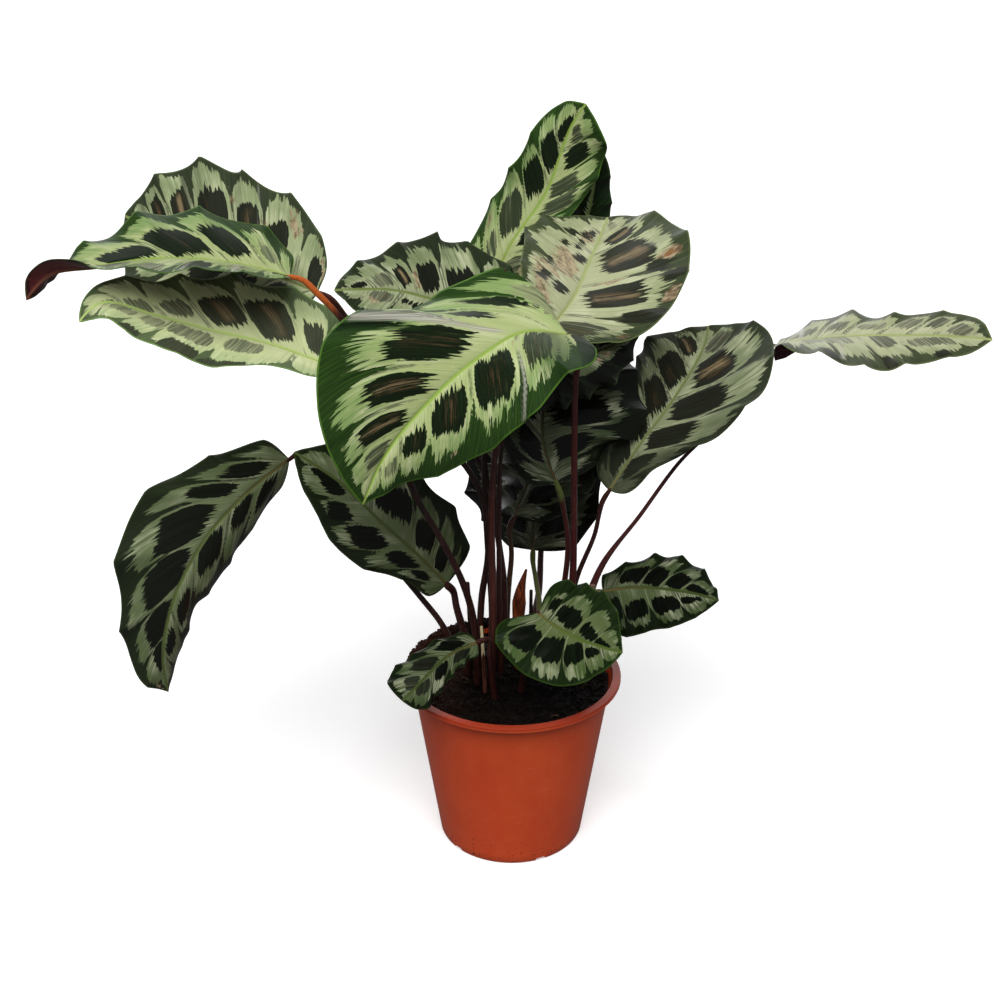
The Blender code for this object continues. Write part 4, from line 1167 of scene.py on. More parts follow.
def make_rolled_foot(leaf, finish):
    """The far leaf's foot, rolled into a maroon funnel round the end of its stalk."""
    rib = Rib(leaf)
    shares = np.linspace(0, 1, ROLL_RINGS)
    places = ROLL_REACH[0] + (ROLL_REACH[1] - ROLL_REACH[0]) * shares
    radii = MM * np.interp(shares, ROLL_PLACES, ROLL_RADII)
    turns = np.linspace(-ROLL_TURN, ROLL_TURN, ROLL_SIDES)
    middle = rib.point(places)[:, None]
    down, side = -rib.read(rib.facing, places)[:, None], rib.read(rib.side, places)[:, None]
    wave = 1 + ROLL_WAVE * np.sin(ROLL_WAVES * turns)[None, :, None] * (1 - shares)[:, None, None]
    way = down * np.cos(turns)[None, :, None] + side * np.sin(turns)[None, :, None] * ROLL_SQUEEZE
    sheets = [middle + way * wave * (radii[:, None, None] - wall) for wall in (0.0, ROLL_WALL)]
    count = ROLL_RINGS * ROLL_SIDES
    faces = [*grid_faces(ROLL_RINGS, ROLL_SIDES, 0, False), *grid_faces(ROLL_RINGS, ROLL_SIDES, count, True)]
    faces += [(one, two, two + count, one + count) for one, two in grid_outline(ROLL_RINGS, ROLL_SIDES)]
    points = np.concatenate([sheet.reshape(-1, 3) for sheet in sheets])
    piece = new_piece("far_right_rolled_foot", points, faces, [finish])
    face_out(piece)
    return piece


def rib_tube(middle, normals, start):
    """The raised midrib under a blade: a closed tapering tube that follows the blade's middle."""
    picked = np.arange(1, len(middle) - 2, 2)
    places = picked / (len(middle) - 1)
    radii = np.interp(places, (0, 1), RIB_RADII)
    along = unit(np.gradient(middle, axis=0))[picked]
    up = normals[picked]
    side = unit(np.cross(along, up))
    centre = middle[picked] - up * radii[:, None] * RIB_SINK
    angles = np.arange(RIB_SIDES) * 2 * np.pi / RIB_SIDES
    ring = side[:, None] * np.cos(angles)[None, :, None] + up[:, None] * np.sin(angles)[None, :, None]
    points = (centre[:, None] + ring * radii[:, None, None]).reshape(-1, 3)
    faces = [(one, four, three, two) for one, two, three, four in ring_faces(len(picked), RIB_SIDES, start)]
    last = start + (len(picked) - 1) * RIB_SIDES
    faces.append(tuple(start + k for k in range(RIB_SIDES)))
    faces.append(tuple(last + k for k in reversed(range(RIB_SIDES))))
    return points, faces, np.repeat(places, RIB_SIDES)


# Geometry nodes


def new_tree(name, sockets):
    """A geometry node tree with a geometry input and output and named inputs: (name, type, value)."""
    tree = bpy.data.node_groups.new(name, "GeometryNodeTree")
    tree.interface.new_socket("Geometry", in_out="INPUT", socket_type="NodeSocketGeometry")
    tree.interface.new_socket("Geometry", in_out="OUTPUT", socket_type="NodeSocketGeometry")
    for title, kind, value in sockets:
        socket = tree.interface.new_socket(title, in_out="INPUT", socket_type=f"NodeSocket{kind}")
        if value is not None:
            socket.default_value = value
    inputs = tree.nodes.new("NodeGroupInput")
    return tree, {socket.name: Flow(tree, socket) for socket in inputs.outputs if socket.name}


def moved(flow, geometry, offset):
    """The geometry with each of its points pushed by an offset."""
    return flow.node("GeometryNodeSetPosition", {}, {"Geometry": geometry, "Offset": offset})


def swept(flow, way, ring, scale=1.0):
    """A closed tube: the ring swept along the way."""
    return flow.node("GeometryNodeCurveToMesh", {}, {
        "Curve": way, "Profile Curve": ring, "Scale": scale, "Fill Caps": True})


def chance(flow, low, high, seed):
    """A random number, or three numbers, for each thing that is scattered."""
    if isinstance(low, tuple):
        return flow.node("FunctionNodeRandomValue", {"data_type": "FLOAT_VECTOR"},
                         {0: low, 1: high, "Seed": seed})
    return flow.node("FunctionNodeRandomValue", {"data_type": "FLOAT"}, {2: low, 3: high, "Seed": seed}, 1)


def scattered(flow, given, spot, reach, thing, turn, size):
    """Copies of a thing on the top of the soil, within reach of the pot's axis, as real geometry."""
    inside = flow.math("LESS_THAN", spot.scaled((1.0, 1.0, 0.0)).long(), reach)
    inside = inside * flow.math("GREATER_THAN", spot.part(2), SOIL_HEIGHT - SCATTER_DEPTH)
    points = flow.node("GeometryNodeDistributePointsOnFaces", {"distribute_method": "RANDOM"}, {
        "Mesh": flow, "Selection": inside, "Density": given["Density"], "Seed": given["Seed"]})
    copies = flow.node("GeometryNodeInstanceOnPoints", {}, {
        "Points": points, "Instance": thing, "Rotation": turn, "Scale": size})
    return flow.node("GeometryNodeRealizeInstances", {}, {"Geometry": copies})


def end_tree(flow, material):
    """Ends a tree: real geometry, smooth, with its material."""
    flow = flow.node("GeometryNodeRealizeInstances", {}, {"Geometry": flow})
    flow = flow.node("GeometryNodeSetShadeSmooth", {}, {"Geometry": flow})
    flow = flow.node("GeometryNodeSetMaterial", {}, {"Geometry": flow, "Material": material})
    out = flow.tree.nodes.new("NodeGroupOutput")
    flow.fill(out.inputs[0], flow)


def grown(thing, tree, values, name):
    """The plain mesh that a tree makes of a thing, as a new object; the thing is removed."""
    if not thing.users_collection:
        bpy.context.scene.collection.objects.link(thing)
    modifier = thing.modifiers.new("Growth", "NODES")
    modifier.node_group = tree
    for item in tree.interface.items_tree:
        if item.in_out == "INPUT" and item.name in values:
            modifier[item.identifier] = values[item.name]
    bpy.context.view_layer.update()
    graph = bpy.context.evaluated_depsgraph_get()
    mesh = bpy.data.meshes.new_from_object(thing.evaluated_get(graph))
    piece = bpy.data.objects.new(name, mesh)
    bpy.context.scene.collection.objects.link(piece)
    bpy.data.objects.remove(thing, do_unlink=True)
    return piece


def stalk_tree():
    """Sweeps a ribbed round along a stalk's way, as thick as the way's radius."""
    tree, given = new_tree("stalk_sweep", (
        ("Sides", "Int", 20), ("Ridges", "Float", 7.0), ("Ridge Depth", "Float", 0.06),
        ("Unevenness", "Float", 0.00015), ("Finish", "Material", None)))
    flow = given["Geometry"]
    turn = flow.node("GeometryNodeSplineParameter", {}, {}, "Factor")
    way = flow.node("GeometryNodeStoreNamedAttribute", {"data_type": "FLOAT", "domain": "POINT"},
                    {"Geometry": flow, "Name": "along", "Value": turn})
    ring = flow.node("GeometryNodeCurvePrimitiveCircle", {"mode": "RADIUS"},
                     {"Resolution": given["Sides"], "Radius": 1.0})
    swell = flow.math("COSINE", turn * given["Ridges"] * (2 * math.pi)) * given["Ridge Depth"]
    spot = flow.node("GeometryNodeInputPosition")
    push = flow.node("ShaderNodeVectorMath", {"operation": "SCALE"}, {0: spot, "Scale": swell})
    tube = swept(flow, way, moved(flow, ring, push), flow.node("GeometryNodeInputRadius"))
    rough = spot.scaled((260.0, 260.0, 60.0)).grain(1.0, 2.0) - 0.5
    normal = flow.node("GeometryNodeInputNormal")
    push = flow.node("ShaderNodeVectorMath", {"operation": "SCALE"},
                     {0: normal, "Scale": rough * given["Unevenness"]})
    end_tree(moved(flow, tube, push), given["Finish"])
    return tree


def new_way(name, points, radii):
    """A curve through points, each with its radius."""
    curve = bpy.data.curves.new(name, "CURVE")
    curve.dimensions = "3D"
    spline = curve.splines.new("POLY")
    spline.points.add(len(points) - 1)
    for target, point, size in zip(spline.points, points, radii):
        target.co = (*point, 1.0)
        target.radius = size
    way = bpy.data.objects.new(name, curve)
    bpy.context.scene.collection.objects.link(way)
    return way


# Stalks and remains


class StalkLook(NamedTuple):
    """Colours of a stalk from its foot to its swollen end."""
    # These dark colours are partly the stalks' own red-brown and partly painted shade of stalks deep in the
    # plant
    foot: tuple = tint(50, 24, 19)
    shaft: tuple = tint(42, 15, 15)
    end: tuple = tint(56, 26, 20)


STALK_LOOKS = {
    "upper_left": StalkLook(end=tint(196, 96, 36)),
    "front_large": StalkLook(shaft=tint(66, 18, 20)),
    "inner_right": StalkLook(shaft=tint(66, 22, 21), end=tint(84, 100, 46)),
    "inner_back": StalkLook(shaft=tint(84, 90, 46), end=tint(80, 88, 42)),
    "inner_centre": StalkLook(shaft=tint(64, 44, 30)),
    "pale_right": StalkLook(shaft=tint(70, 30, 26), end=tint(130, 112, 66)),
    "far_right": StalkLook(foot=tint(112, 34, 48), shaft=tint(62, 26, 28), end=tint(96, 44, 40)),
    "small_right": StalkLook(shaft=tint(60, 36, 28), end=tint(80, 76, 42)),
}


STALK_PALE = tint(150, 96, 70)
STALK_DARK = tint(20, 10, 10)


def stalk_finish(name, look):
    """A stalk's skin: colour along it and fine lengthwise streaks, pale and dark."""
    material, flow, shader = new_finish(name)
    along = flow.attribute("along", "Fac")
    place = flow.place()
    streaks = place.scaled((1400.0, 1400.0, 60.0)).grain(1.0, 3.0, 0.6)
    broad = place.scaled((160.0, 160.0, 30.0)).grain(1.0, 2.0)
    colour = (along + (broad - 0.5) * 0.25).rise(0.05, 0.32).mix(look.foot, look.shaft)
    colour = (along + (broad - 0.5) * 0.05).rise(0.88, 0.93).mix(colour, look.end)
    colour = (streaks.rise(0.45, 0.75) * 0.4).mix(colour, blend_colours(look.shaft, STALK_PALE, 0.4))
    colour = (streaks.rise(0.5, 0.3) * 0.5).mix(colour, blend_colours(look.shaft, STALK_DARK, 0.6))
    dress(flow, shader, base_color=colour, roughness=0.42 + (streaks - 0.5) * 0.3,
          normal=streaks.relief(0.0003, 0.5))
    return material


class DryLook(NamedTuple):
    """Colours of old growth: two of its streaks, that of its end, and where the end starts."""
    dark: tuple
    pale: tuple
    tip: tuple
    tip_start: float = 0.9


DRY_LOOKS = {
    "stub_left": DryLook(tint(16, 10, 8), tint(44, 27, 19), tint(60, 40, 28)),
    "stub_middle": DryLook(tint(58, 26, 20), tint(110, 66, 44), tint(216, 202, 158), 0.62),
    "stub_right": DryLook(tint(46, 20, 24), tint(86, 58, 50), tint(120, 96, 76)),
    "stub_dark": DryLook(tint(12, 8, 7), tint(34, 22, 16), tint(44, 30, 22)),
    "dried_sheath": DryLook(tint(58, 20, 8), tint(146, 70, 26), tint(96, 44, 18), 0.85),
    "rolled_foot": DryLook(tint(44, 12, 20), tint(92, 32, 40), tint(104, 40, 46)),
}


def dry_finish(name):
    """Dry, papery growth, streaked lengthwise."""
    look = DRY_LOOKS[name]
    material, flow, shader = new_finish(f"{name}_skin")
    along = flow.attribute("along", "Fac")
    place = flow.place()
    streaks = place.scaled((900.0, 900.0, 70.0)).grain(1.0, 4.0, 0.65)
    colour = streaks.rise(0.35, 0.7).mix(look.dark, look.pale)
    tip = streaks.rise(0.3, 0.6).mix(blend_colours(look.tip, look.dark, 0.5), look.tip)
    colour = (along + (streaks - 0.5) * 0.2).rise(look.tip_start, look.tip_start + 0.06).mix(colour, tip)
    dress(flow, shader, base_color=colour, roughness=0.75 + (streaks - 0.5) * 0.2,
          normal=streaks.relief(0.0006, 0.8))
    return material


def bump(x, y, place, spread, rise):
    """A smooth round hill on level ground."""
    return rise * math.exp(-(((x - place[0]) / spread[0]) ** 2 + ((y - place[1]) / spread[1]) ** 2) / 2)


def soil_level(x, y):
    """Height of the soil: nearly level, a low mound at the stalks and a heap at the left."""
    mound = bump(x, y, MOUND_PLACE, MOUND_SPREAD, MOUND_RISE)
    heap = bump(x, y, HEAP_PLACE, HEAP_SPREAD, HEAP_RISE)
    return SOIL_HEIGHT + mound + heap


def rooted(points):
    """The way of a stalk from its root in the soil to its last free point, in metres."""
    x, y = np.array(points[0]) * MM
    level = soil_level(x, y)
    way = [(x, y, level - ROOT_DEPTH), (x, y, level + FOOT_RISE)]
    return way + [tuple(np.array(point) * MM) for point in points[1:]]


def make_stem(name, way, count, radius, places, swell, tree, inputs):
    """A swept stem: straight from its root to the soil's top, then smooth. Its radius is swollen by the
    amount given for each place."""
    fine, _ = smooth_path(way[1:], count)
    points = np.vstack((way[0], fine))
    shares = np.concatenate(([0.0], np.linspace(0, 1, count)))
    radii = radius * np.interp(shares, places, swell)
    return grown(new_way(f"way_{name}", points, radii), tree, inputs, name)


def make_stalk(name, leaf, tree):
    """A leaf's stalk, thick at its foot and under the blade, where it runs into the midrib."""
    rib = Rib(leaf)
    direction = rib.facing[0] if leaf.joins_below else rib.along[0]
    base = rib.points[0]
    inside = rib.point(np.array((0.012,)))[0] - rib.facing[0] * 0.6 * MM
    way = rooted(leaf.stalk)
    way += [tuple(base - direction * JOINT_RUN), tuple(base - direction * 0.5 * MM), tuple(inside)]
    swell = (leaf.foot, 0.94 * leaf.foot, *STALK_SWELL)
    finish = stalk_finish(f"stalk_skin_{name}", STALK_LOOKS.get(name, StalkLook()))
    return make_stem(f"stem_{name}", way, STALK_POINTS, leaf.radius * MM, STALK_PLACES, swell, tree,
                     {"Finish": finish, **STALK_SECTION})


def make_remain(name, points, sizes, tree):
    """A cut stub or the dried sheath."""
    places = np.linspace(0, 1, len(sizes))
    return make_stem(f"old_{name}", rooted(points), REMAIN_POINTS, MM, places, sizes, tree,
                     {"Finish": dry_finish(name), **REMAIN_SECTION})


# Soil


SOIL_MIX = (tint(5, 3, 2), tint(14, 9, 6))
SOIL_CRUMBS = (tint(7, 5, 3), tint(24, 15, 10))
HEAP_BROWN = tint(74, 38, 23)
SOIL_FLECK = tint(84, 64, 46)
FIBRE_COLOURS = (tint(54, 36, 24), tint(128, 106, 78))
BALL_TURN = (6.3, 6.3, 6.3)
LUMP_PUSH = (0.0016, 0.0016, 0.0016)


def soil_finish(name, dark, brown):
    """Damp potting mix: nearly black, browner where it is heaped and dry, with pale flecks."""
    material, flow, shader = new_finish(name)
    place = flow.place()
    clods = place.grain(260.0, 4.0, 0.65)
    fine = place.grain(1400.0, 3.0, 0.7)
    heap = place.part(0).rise(*HEAP_TO_LEFT) * place.part(2).rise(*HEAP_HEIGHTS)
    colour = clods.rise(0.35, 0.7).mix(dark, brown)
    colour = (heap * fine.rise(0.35, 0.65)).mix(colour, HEAP_BROWN)
    colour = (fine.rise(0.68, 0.76) * 0.5).mix(colour, SOIL_FLECK)
    dress(flow, shader, base_color=colour, roughness=0.9 + (fine - 0.5) * 0.15,
          normal=(clods * 0.6 + fine * 0.4).relief(0.0012, 0.9))
    return material


def fibre_finish():
    """Dry fibres, from dark to straw."""
    material, flow, shader = new_finish("soil_fibres")
    colour = flow.place().grain(120.0, 2.0).rise(0.35, 0.65).mix(*FIBRE_COLOURS)
    dress(flow, shader, base_color=colour, roughness=0.8)
    return material


def wall_radius(height):
    """Inner radius of the pot's wall."""
    share = height / NECK_HEIGHT
    return BASE_RADIUS + (NECK_RADIUS - BASE_RADIUS) * share - WALL


def lathe(profile, sides):
    """Points and faces of a profile turned about Z, closed at its two ends on the axis."""
    angles = np.arange(sides) * 2 * np.pi / sides
    ring = np.stack((np.cos(angles), np.sin(angles)), axis=-1)
    body = [(radius, height) for radius, height in profile if radius > 0]
    points = [np.column_stack((ring * radius, np.full(sides, height))) for radius, height in body]
    points.append(np.array(((0, 0, profile[0][1]), (0, 0, profile[-1][1]))))
    count = len(body)
    faces = ring_faces(count, sides)
    last = (count - 1) * sides
    for k in range(sides):
        faces.append(((k + 1) % sides, k, count * sides))
        faces.append((last + k, last + (k + 1) % sides, count * sides + 1))
    return np.concatenate(points), faces


def make_soil(finish):
    """The soil plug with a crumbly top."""
    bottom = FLOOR + SOIL_GAP
    edge = wall_radius(SOIL_HEIGHT) - 0.1 * MM
    profile = [(0.0, bottom), (wall_radius(0) - 1.8 * MM, bottom), (wall_radius(3 * MM) - SOIL_GAP, 3 * MM),
               (edge, SOIL_HEIGHT - 1 * MM)]
    profile += [(edge * (1 - step / SOIL_ROWS), SOIL_HEIGHT) for step in range(SOIL_ROWS)]
    profile.append((0.0, SOIL_HEIGHT))
    points, faces = lathe(profile, SOIL_SIDES)
    for point in points:
        if point[2] < SOIL_HEIGHT - 0.5 * MM:
            continue
        x, y, _ = point
        point[2] = soil_level(x, y)
        for size, depth in CLOD_SIZES:
            point[2] += depth * noise.noise(Vector((x / size, y / size, 7.3 + size * 1000)))
    return new_piece("soil_mix", points, faces, [finish])


def make_spill(finish):
    """Soil heaped over the rim at the left back: a lumpy, tapering ridge that lies on the lip."""
    points = []
    for step in range(SPILL_STEPS):
        share = (step + 0.5) / SPILL_STEPS
        angle = SPILL_ARC[0] + (SPILL_ARC[1] - SPILL_ARC[0]) * share
        size = math.sin(math.pi * share) ** 0.45
        size *= 0.8 + 0.5 * noise.noise(Vector((share * 9, 2.6, 0.4)))
        for side in range(SPILL_SIDES):
            turn = 2 * math.pi * side / SPILL_SIDES
            lump = 1 + 0.5 * noise.noise(Vector((share * 34, 3 * math.cos(turn), 3 * math.sin(turn))))
            reach = SPILL_RING + SPILL_WIDTH * size * lump * math.cos(turn)
            tall = SPILL_HEIGHT * size * lump * math.sin(turn) * (1.0 if turn < math.pi else SPILL_UNDERSIDE)
            points.append((reach * math.cos(angle), reach * math.sin(angle), POT_HEIGHT + tall))
    faces = [tuple(reversed(range(SPILL_SIDES))),
             tuple(range((SPILL_STEPS - 1) * SPILL_SIDES, SPILL_STEPS * SPILL_SIDES))]
    faces += ring_faces(SPILL_STEPS, SPILL_SIDES)
    return new_piece("soil_spill", np.array(points), faces, [finish])


def crumb_tree():
    """Scatters lumps over a surface: each is a rough ball, pressed into what it lies on."""
    tree, given = new_tree("soil_crumbs", (
        ("Density", "Float", 260000.0), ("Smallest", "Float", 0.0004), ("Largest", "Float", 0.0016),
        ("Reach", "Float", SCATTER_RADIUS), ("Seed", "Int", 3), ("Finish", "Material", None)))
    flow = given["Geometry"]
    spot = flow.node("GeometryNodeInputPosition")
    ball = flow.node("GeometryNodeMeshIcoSphere", {}, {"Radius": 1.0, "Subdivisions": 1})
    size = chance(flow, 0.0, 1.0, 11) ** 3.0
    size = given["Smallest"] + size * (given["Largest"] - given["Smallest"])
    turn = chance(flow, (0, 0, 0), BALL_TURN, 5)
    crumbs = scattered(flow, given, spot, given["Reach"], ball, turn, size)
    push = flow.node("ShaderNodeTexNoise", {}, {"Vector": spot, "Scale": 900.0, "Detail": 1.0}, "Color")
    push = flow.node("ShaderNodeVectorMath", {"operation": "SUBTRACT"}, {0: push, 1: (0.5, 0.5, 0.5)})
    end_tree(moved(flow, crumbs, push.scaled(LUMP_PUSH)), given["Finish"])
    return tree


def fibre_tree():
    """Scatters short bent fibres over a surface."""
    tree, given = new_tree("soil_fibres", (
        ("Density", "Float", 4000.0), ("Length", "Float", 0.0055), ("Thickness", "Float", 0.018),
        ("Lift", "Vector", (0, 0, 0.0006)), ("Seed", "Int", 8), ("Finish", "Material", None)))
    flow = given["Geometry"]
    spot = flow.node("GeometryNodeInputPosition")
    bow = flow.node("GeometryNodeCurveQuadraticBezier", {}, {
        "Resolution": 5, "Start": (-0.5, 0, 0), "Middle": (0, 0.28, 0.12), "End": (0.5, 0.05, 0)})
    ring = flow.node("GeometryNodeCurvePrimitiveCircle", {"mode": "RADIUS"},
                     {"Resolution": 3, "Radius": given["Thickness"]})
    size = chance(flow, 0.4, 1.4, 4) * given["Length"]
    turn = chance(flow, (-0.5, -0.5, 0), (0.5, 0.5, 6.3), 6)
    fibres = scattered(flow, given, spot, SCATTER_RADIUS - given["Length"] * 0.5, swept(flow, bow, ring),
                       turn, size)
    end_tree(moved(flow, fibres, given["Lift"]), given["Finish"])
    return tree


# Pot


POT_ORANGE = (tint(216, 76, 35), tint(222, 84, 39))
POT_MOTTLE = tint(228, 98, 56)
POT_DRIFT = tint(196, 62, 28)
POT_SPECK = tint(60, 30, 20)
POT_LIP_PAINTED_SHADE = tint(128, 34, 15)
POT_DUST = tint(96, 60, 44)
POT_SCUFF = tint(232, 150, 120)


def pot_finish():
    """Moulded plastic: slightly streaked colour, satin, with dust, fine scuffs, soil specks and painted
    shade on the top of the lip.
    """
    material, flow, shader = new_finish("pot_plastic")
    place = flow.place()
    flowlines = place.scaled((45.0, 45.0, 7.0)).grain(1.0, 3.0, 0.55)
    mottle = place.grain(90.0, 4.0, 0.6)
    pits = place.grain(2200.0, 2.0)
    drift = place.grain(26.0, 3.0)
    height = place.part(2)
    low = (height + (mottle - 0.5) * 0.05).rise(*SPECK_HEIGHTS)
    specks = place.grain(560.0, 2.0).rise(0.645, 0.675) * low
    dust = place.grain(380.0, 5.0, 0.7).rise(0.52, 0.72) * height.rise(*DUST_HEIGHTS)
    scuffs = place.scaled((120.0, 120.0, 900.0)).grain(1.0, 3.0).rise(0.64, 0.72)
    colour = flowlines.rise(0.3, 0.7).mix(*POT_ORANGE)
    # The top of the lip is darkened as painted shade
    layers = ((mottle.rise(0.45, 0.8) * 0.35, POT_MOTTLE), (drift.rise(0.4, 0.7) * 0.3, POT_DRIFT),
              (specks, POT_SPECK), (height.rise(*LIP_SHADE) * 0.75, POT_LIP_PAINTED_SHADE),
              (dust * 0.35, POT_DUST), (scuffs * 0.18, POT_SCUFF))
    for share, layer in layers:
        colour = share.mix(colour, layer)
    rough = 0.33 + (mottle - 0.5) * 0.2 + dust * 0.2 + scuffs * 0.1
    dress(flow, shader, base_color=colour, roughness=rough,
          normal=(pits * 0.5 + flowlines * 0.5).relief(0.0002, 0.35))
    return material


def arc(centre, radius, first, last, count):
    """Points on an arc in the profile plane, angles in degrees."""
    angles = np.radians(np.linspace(first, last, count))
    return [(centre[0] + radius * math.cos(angle), centre[1] + radius * math.sin(angle))
            for angle in angles]


def drain_cutter(number):
    """A round tool that cuts one drain hole through the floor."""
    angle = 2 * math.pi * number / DRAIN_COUNT
    tool = bmesh.new()
    bmesh.ops.create_cone(tool, cap_ends=True, segments=28, radius1=DRAIN_RADIUS, radius2=DRAIN_RADIUS,
                          depth=3 * FLOOR)
    bmesh.ops.translate(tool, vec=(DRAIN_RING * math.cos(angle), DRAIN_RING * math.sin(angle), FLOOR / 2),
                        verts=tool.verts)
    return tool


def notch_cutter(number):
    """A block with rounded upper edges that cuts one notch into the foot."""
    angle = NOTCH_FIRST_ANGLE + 2 * math.pi * number / NOTCH_COUNT
    tool = bmesh.new()
    bmesh.ops.create_cube(tool, size=1.0)
    bmesh.ops.scale(tool, vec=(NOTCH_WIDTH, NOTCH_WIDTH, 2 * NOTCH_HEIGHT), verts=tool.verts)
    edges = [edge for edge in tool.edges if all(vertex.co.z > 0 for vertex in edge.verts)]
    bmesh.ops.bevel(tool, geom=edges, offset=0.6 * MM, segments=3, affect="EDGES")
    for vertex in tool.verts:
        x, y, z = vertex.co
        reach = BASE_RADIUS + x
        vertex.co = Vector((reach * math.cos(angle) - y * math.sin(angle),
                            reach * math.sin(angle) + y * math.cos(angle), z))
    return tool


def cut_away(piece, cutters):
    """Cuts each tool out of a piece; the tools are used up."""
    tools = []
    for number, cutter in enumerate(cutters):
        mesh = bpy.data.meshes.new(f"cutter_{number}")
        cutter.to_mesh(mesh)
        cutter.free()
        tool = bpy.data.objects.new(f"cutter_{number}", mesh)
        bpy.context.scene.collection.objects.link(tool)
        cut = piece.modifiers.new(f"Cut {number}", "BOOLEAN")
        cut.operation = "DIFFERENCE"
        cut.object = tool
        cut.solver = "EXACT"
        tools.append(tool)
    bpy.context.view_layer.update()
    graph = bpy.context.evaluated_depsgraph_get()
    shaped = bpy.data.meshes.new_from_object(piece.evaluated_get(graph))
    piece.modifiers.clear()
    piece.data = shaped
    for tool in tools:
        bpy.data.objects.remove(tool, do_unlink=True)
    shaped.shade_smooth()
    shaped.set_sharp_from_angle(angle=SHARP_FROM)


def make_pot(finish):
    """The pot: a tapered wall, a step and a rolled lip, cut by drain holes and foot notches."""
    top = POT_HEIGHT
    lip = [*arc((RIM_RADIUS - LIP_EDGE, top - LIP_EDGE), LIP_EDGE, 90, 0, 6),
           *arc((RIM_RADIUS - LIP_EDGE, top - LIP_DEPTH + LIP_EDGE), LIP_EDGE, 0, -70, 5)]
    outside = [(BASE_RADIUS + (NECK_RADIUS - BASE_RADIUS) * share, NECK_HEIGHT * share)
               for share in np.linspace(0.012, 0.985, WALL_ROWS)]
    inside = [(radius - WALL, height) for radius, height in outside if height > 3 * MM]
    profile = [
        (0.0, 0.0),
        (DRAIN_RING - DRAIN_BAND, 0.0), (DRAIN_RING + DRAIN_BAND, 0.0),
        *arc((BASE_RADIUS - BASE_EDGE, BASE_EDGE), BASE_EDGE, -90, -10, 6),
        *outside,
        (NECK_RADIUS + 0.3 * MM, NECK_HEIGHT - 0.3 * MM),
        (NECK_RADIUS + WALL, NECK_HEIGHT),
        (RIM_RADIUS - 1.4 * MM, top - LIP_DEPTH + 0.05 * MM),
        *reversed(lip),
        (MOUTH_RADIUS + 0.5 * MM, top),
        *arc((MOUTH_RADIUS, top - 0.5 * MM), 0.5 * MM, 80, 180, 5),
        (MOUTH_RADIUS - WALL, top - 1.6 * MM),
        *reversed(inside),
        *arc((wall_radius(0) - FLOOR_EDGE, FLOOR + FLOOR_EDGE), FLOOR_EDGE, 0, -90, 6),
        (DRAIN_RING + DRAIN_BAND, FLOOR), (DRAIN_RING - DRAIN_BAND, FLOOR),
        (0.0, FLOOR),
    ]
    pot = new_piece("nursery_pot", *lathe(profile, POT_SIDES), [finish])
    cut_away(pot, [*(drain_cutter(number) for number in range(DRAIN_COUNT)),
                   *(notch_cutter(number) for number in range(NOTCH_COUNT))])
    return pot


# Stage


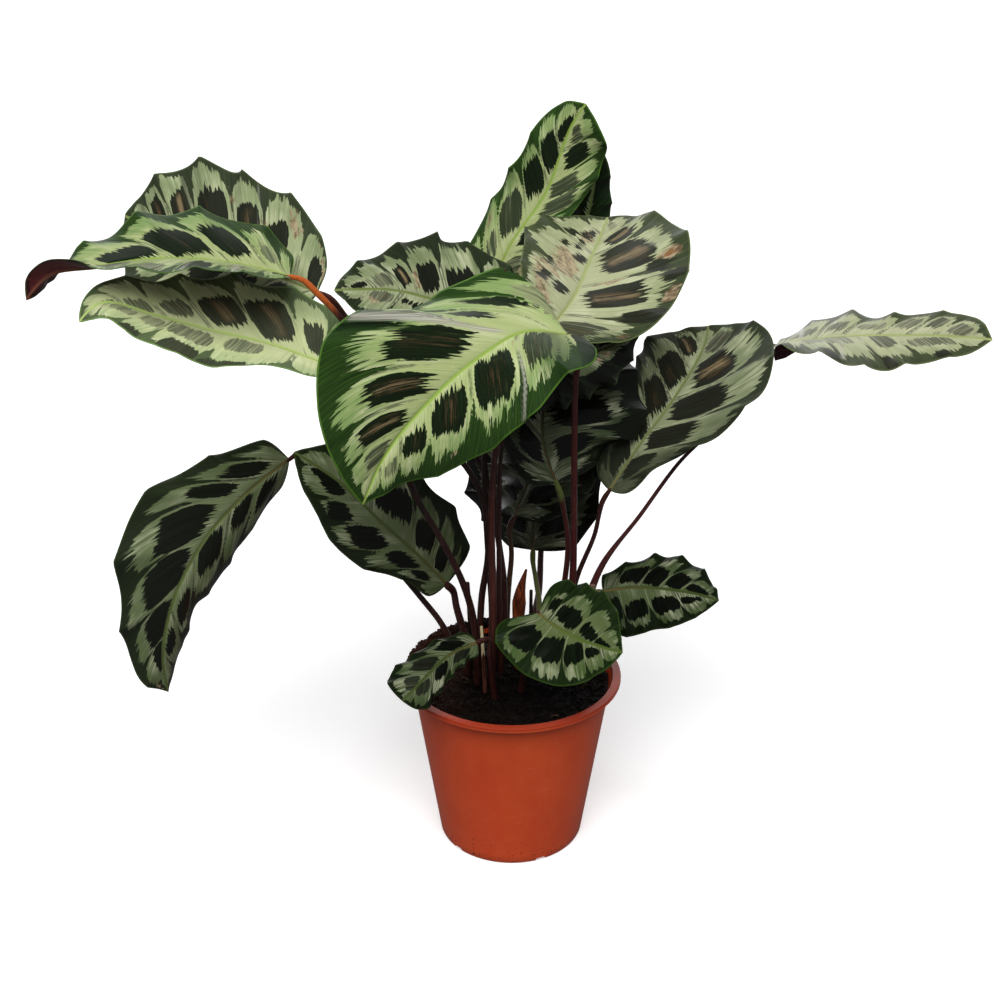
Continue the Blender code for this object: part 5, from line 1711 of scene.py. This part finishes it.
def make_stage():
    """Pale floor, white surroundings and one wide soft light from above and in front."""
    material, flow, shader = new_finish("studio_floor")
    shade = flow.place().grain(0.8, 1.0).rise(0.2, 0.8)
    dress(flow, shader, base_color=shade.mix(tint(249, 249, 249), tint(251, 251, 251)), roughness=0.7,
          emission_color=WHITE, emission_strength=FLOOR_GLOW)
    corners = FLOOR_REACH * np.array(((-1, -1, 0), (1, -1, 0), (1, 1, 0), (-1, 1, 0)), float)
    floor = new_piece("studio_floor", corners, [(0, 1, 2, 3)], [material])
    floor.visible_diffuse = False
    floor.visible_glossy = False
    world = bpy.data.worlds.new("studio")
    world.use_nodes = True
    flow = Flow(world.node_tree)
    seen = flow.node("ShaderNodeLightPath", {}, {}, "Is Camera Ray")
    mirrored = flow.node("ShaderNodeLightPath", {}, {}, "Is Glossy Ray")
    way = flow.node("ShaderNodeTexCoord", {}, {}, "Generated")
    soft = (way.part(2).rise(*AMBIENT_RISE) * 0.5 + 0.5) * AMBIENT
    sheen = way.part(1).rise(*SHEEN_EDGE) * way.part(2).rise(*SHEEN_LEVEL) * SHEEN_LIGHT + SHEEN_FLOOR
    aim = way.node("ShaderNodeVectorMath", {"operation": "DOT_PRODUCT"},
                   {0: way, 1: Vector(GLINT_FROM).normalized()}, "Value")
    sheen = sheen + aim.rise(*GLINT_EDGE) * GLINT
    strength = soft + seen * (1.0 - soft) + mirrored * (sheen - soft)
    background = world.node_tree.nodes["Background"]
    flow.fill(background.inputs["Strength"], strength)
    background.inputs["Color"].default_value = WHITE
    bpy.context.scene.world = world
    data = bpy.data.lights.new("studio_light", "SUN")
    data.energy = MAIN_LIGHT
    data.angle = MAIN_LIGHT_WIDTH
    light = bpy.data.objects.new("studio_light", data)
    light.rotation_euler = Vector(MAIN_LIGHT_FROM).to_track_quat("Z", "Y").to_euler()
    light.visible_glossy = False
    bpy.context.scene.collection.objects.link(light)


def make_camera():
    """The camera, level from side to side, on the fitted place."""
    data = bpy.data.cameras.new("camera")
    data.sensor_width = SENSOR_MM
    data.lens = FOCAL_PX / IMAGE_WIDTH_PX * SENSOR_MM
    data.clip_start = 0.01
    camera = bpy.data.objects.new("camera", data)
    camera.location = CAMERA_PLACE
    camera.rotation_euler = (math.pi / 2 - CAMERA_PITCH, 0.0, 0.0)
    bpy.context.scene.collection.objects.link(camera)
    bpy.context.scene.camera = camera
    bpy.context.scene.view_settings.view_transform = "Standard"


def settle(piece, slot, *nodes):
    """The piece stands for its CAD nodes, on the one body that there is."""
    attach(piece, "root")
    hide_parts(*nodes)


make_camera()
make_stage()
sweep = stalk_tree()
for number, (name, leaf) in enumerate(LEAVES.items()):
    settle(make_blade(name, leaf, number), leaf.slot, f"blade_{name}")
    settle(make_stalk(name, leaf, sweep), "stalk", f"stalk_{name}")
rolled_foot = make_rolled_foot(LEAVES["far_right"], dry_finish("rolled_foot"))
settle(rolled_foot, "leaf_pale", "blade_far_right")
for name, (points, sizes) in REMAINS.items():
    settle(make_remain(name, points, sizes, sweep), "dried_growth", name)
soil = make_soil(soil_finish("soil_mix", *SOIL_MIX))
crumb_skin = soil_finish("soil_crumbs", *SOIL_CRUMBS)
scatter = crumb_tree()
crumbs = grown(soil.copy(), scatter, {"Finish": crumb_skin}, "soil_crumbs")
fibres = grown(soil.copy(), fibre_tree(), {"Finish": fibre_finish()}, "soil_fibres")
spill = make_spill(crumb_skin)
spilt = grown(spill.copy(), scatter, {
    "Finish": crumb_skin, "Reach": 2 * RIM_RADIUS, "Density": SPILL_CRUMBS}, "soil_spilt_crumbs")
for piece in (soil, crumbs, fibres, spill, spilt):
    settle(piece, "soil", "soil")
settle(make_pot(pot_finish()), "pot", "pot")

bpy.context.view_layer.update()
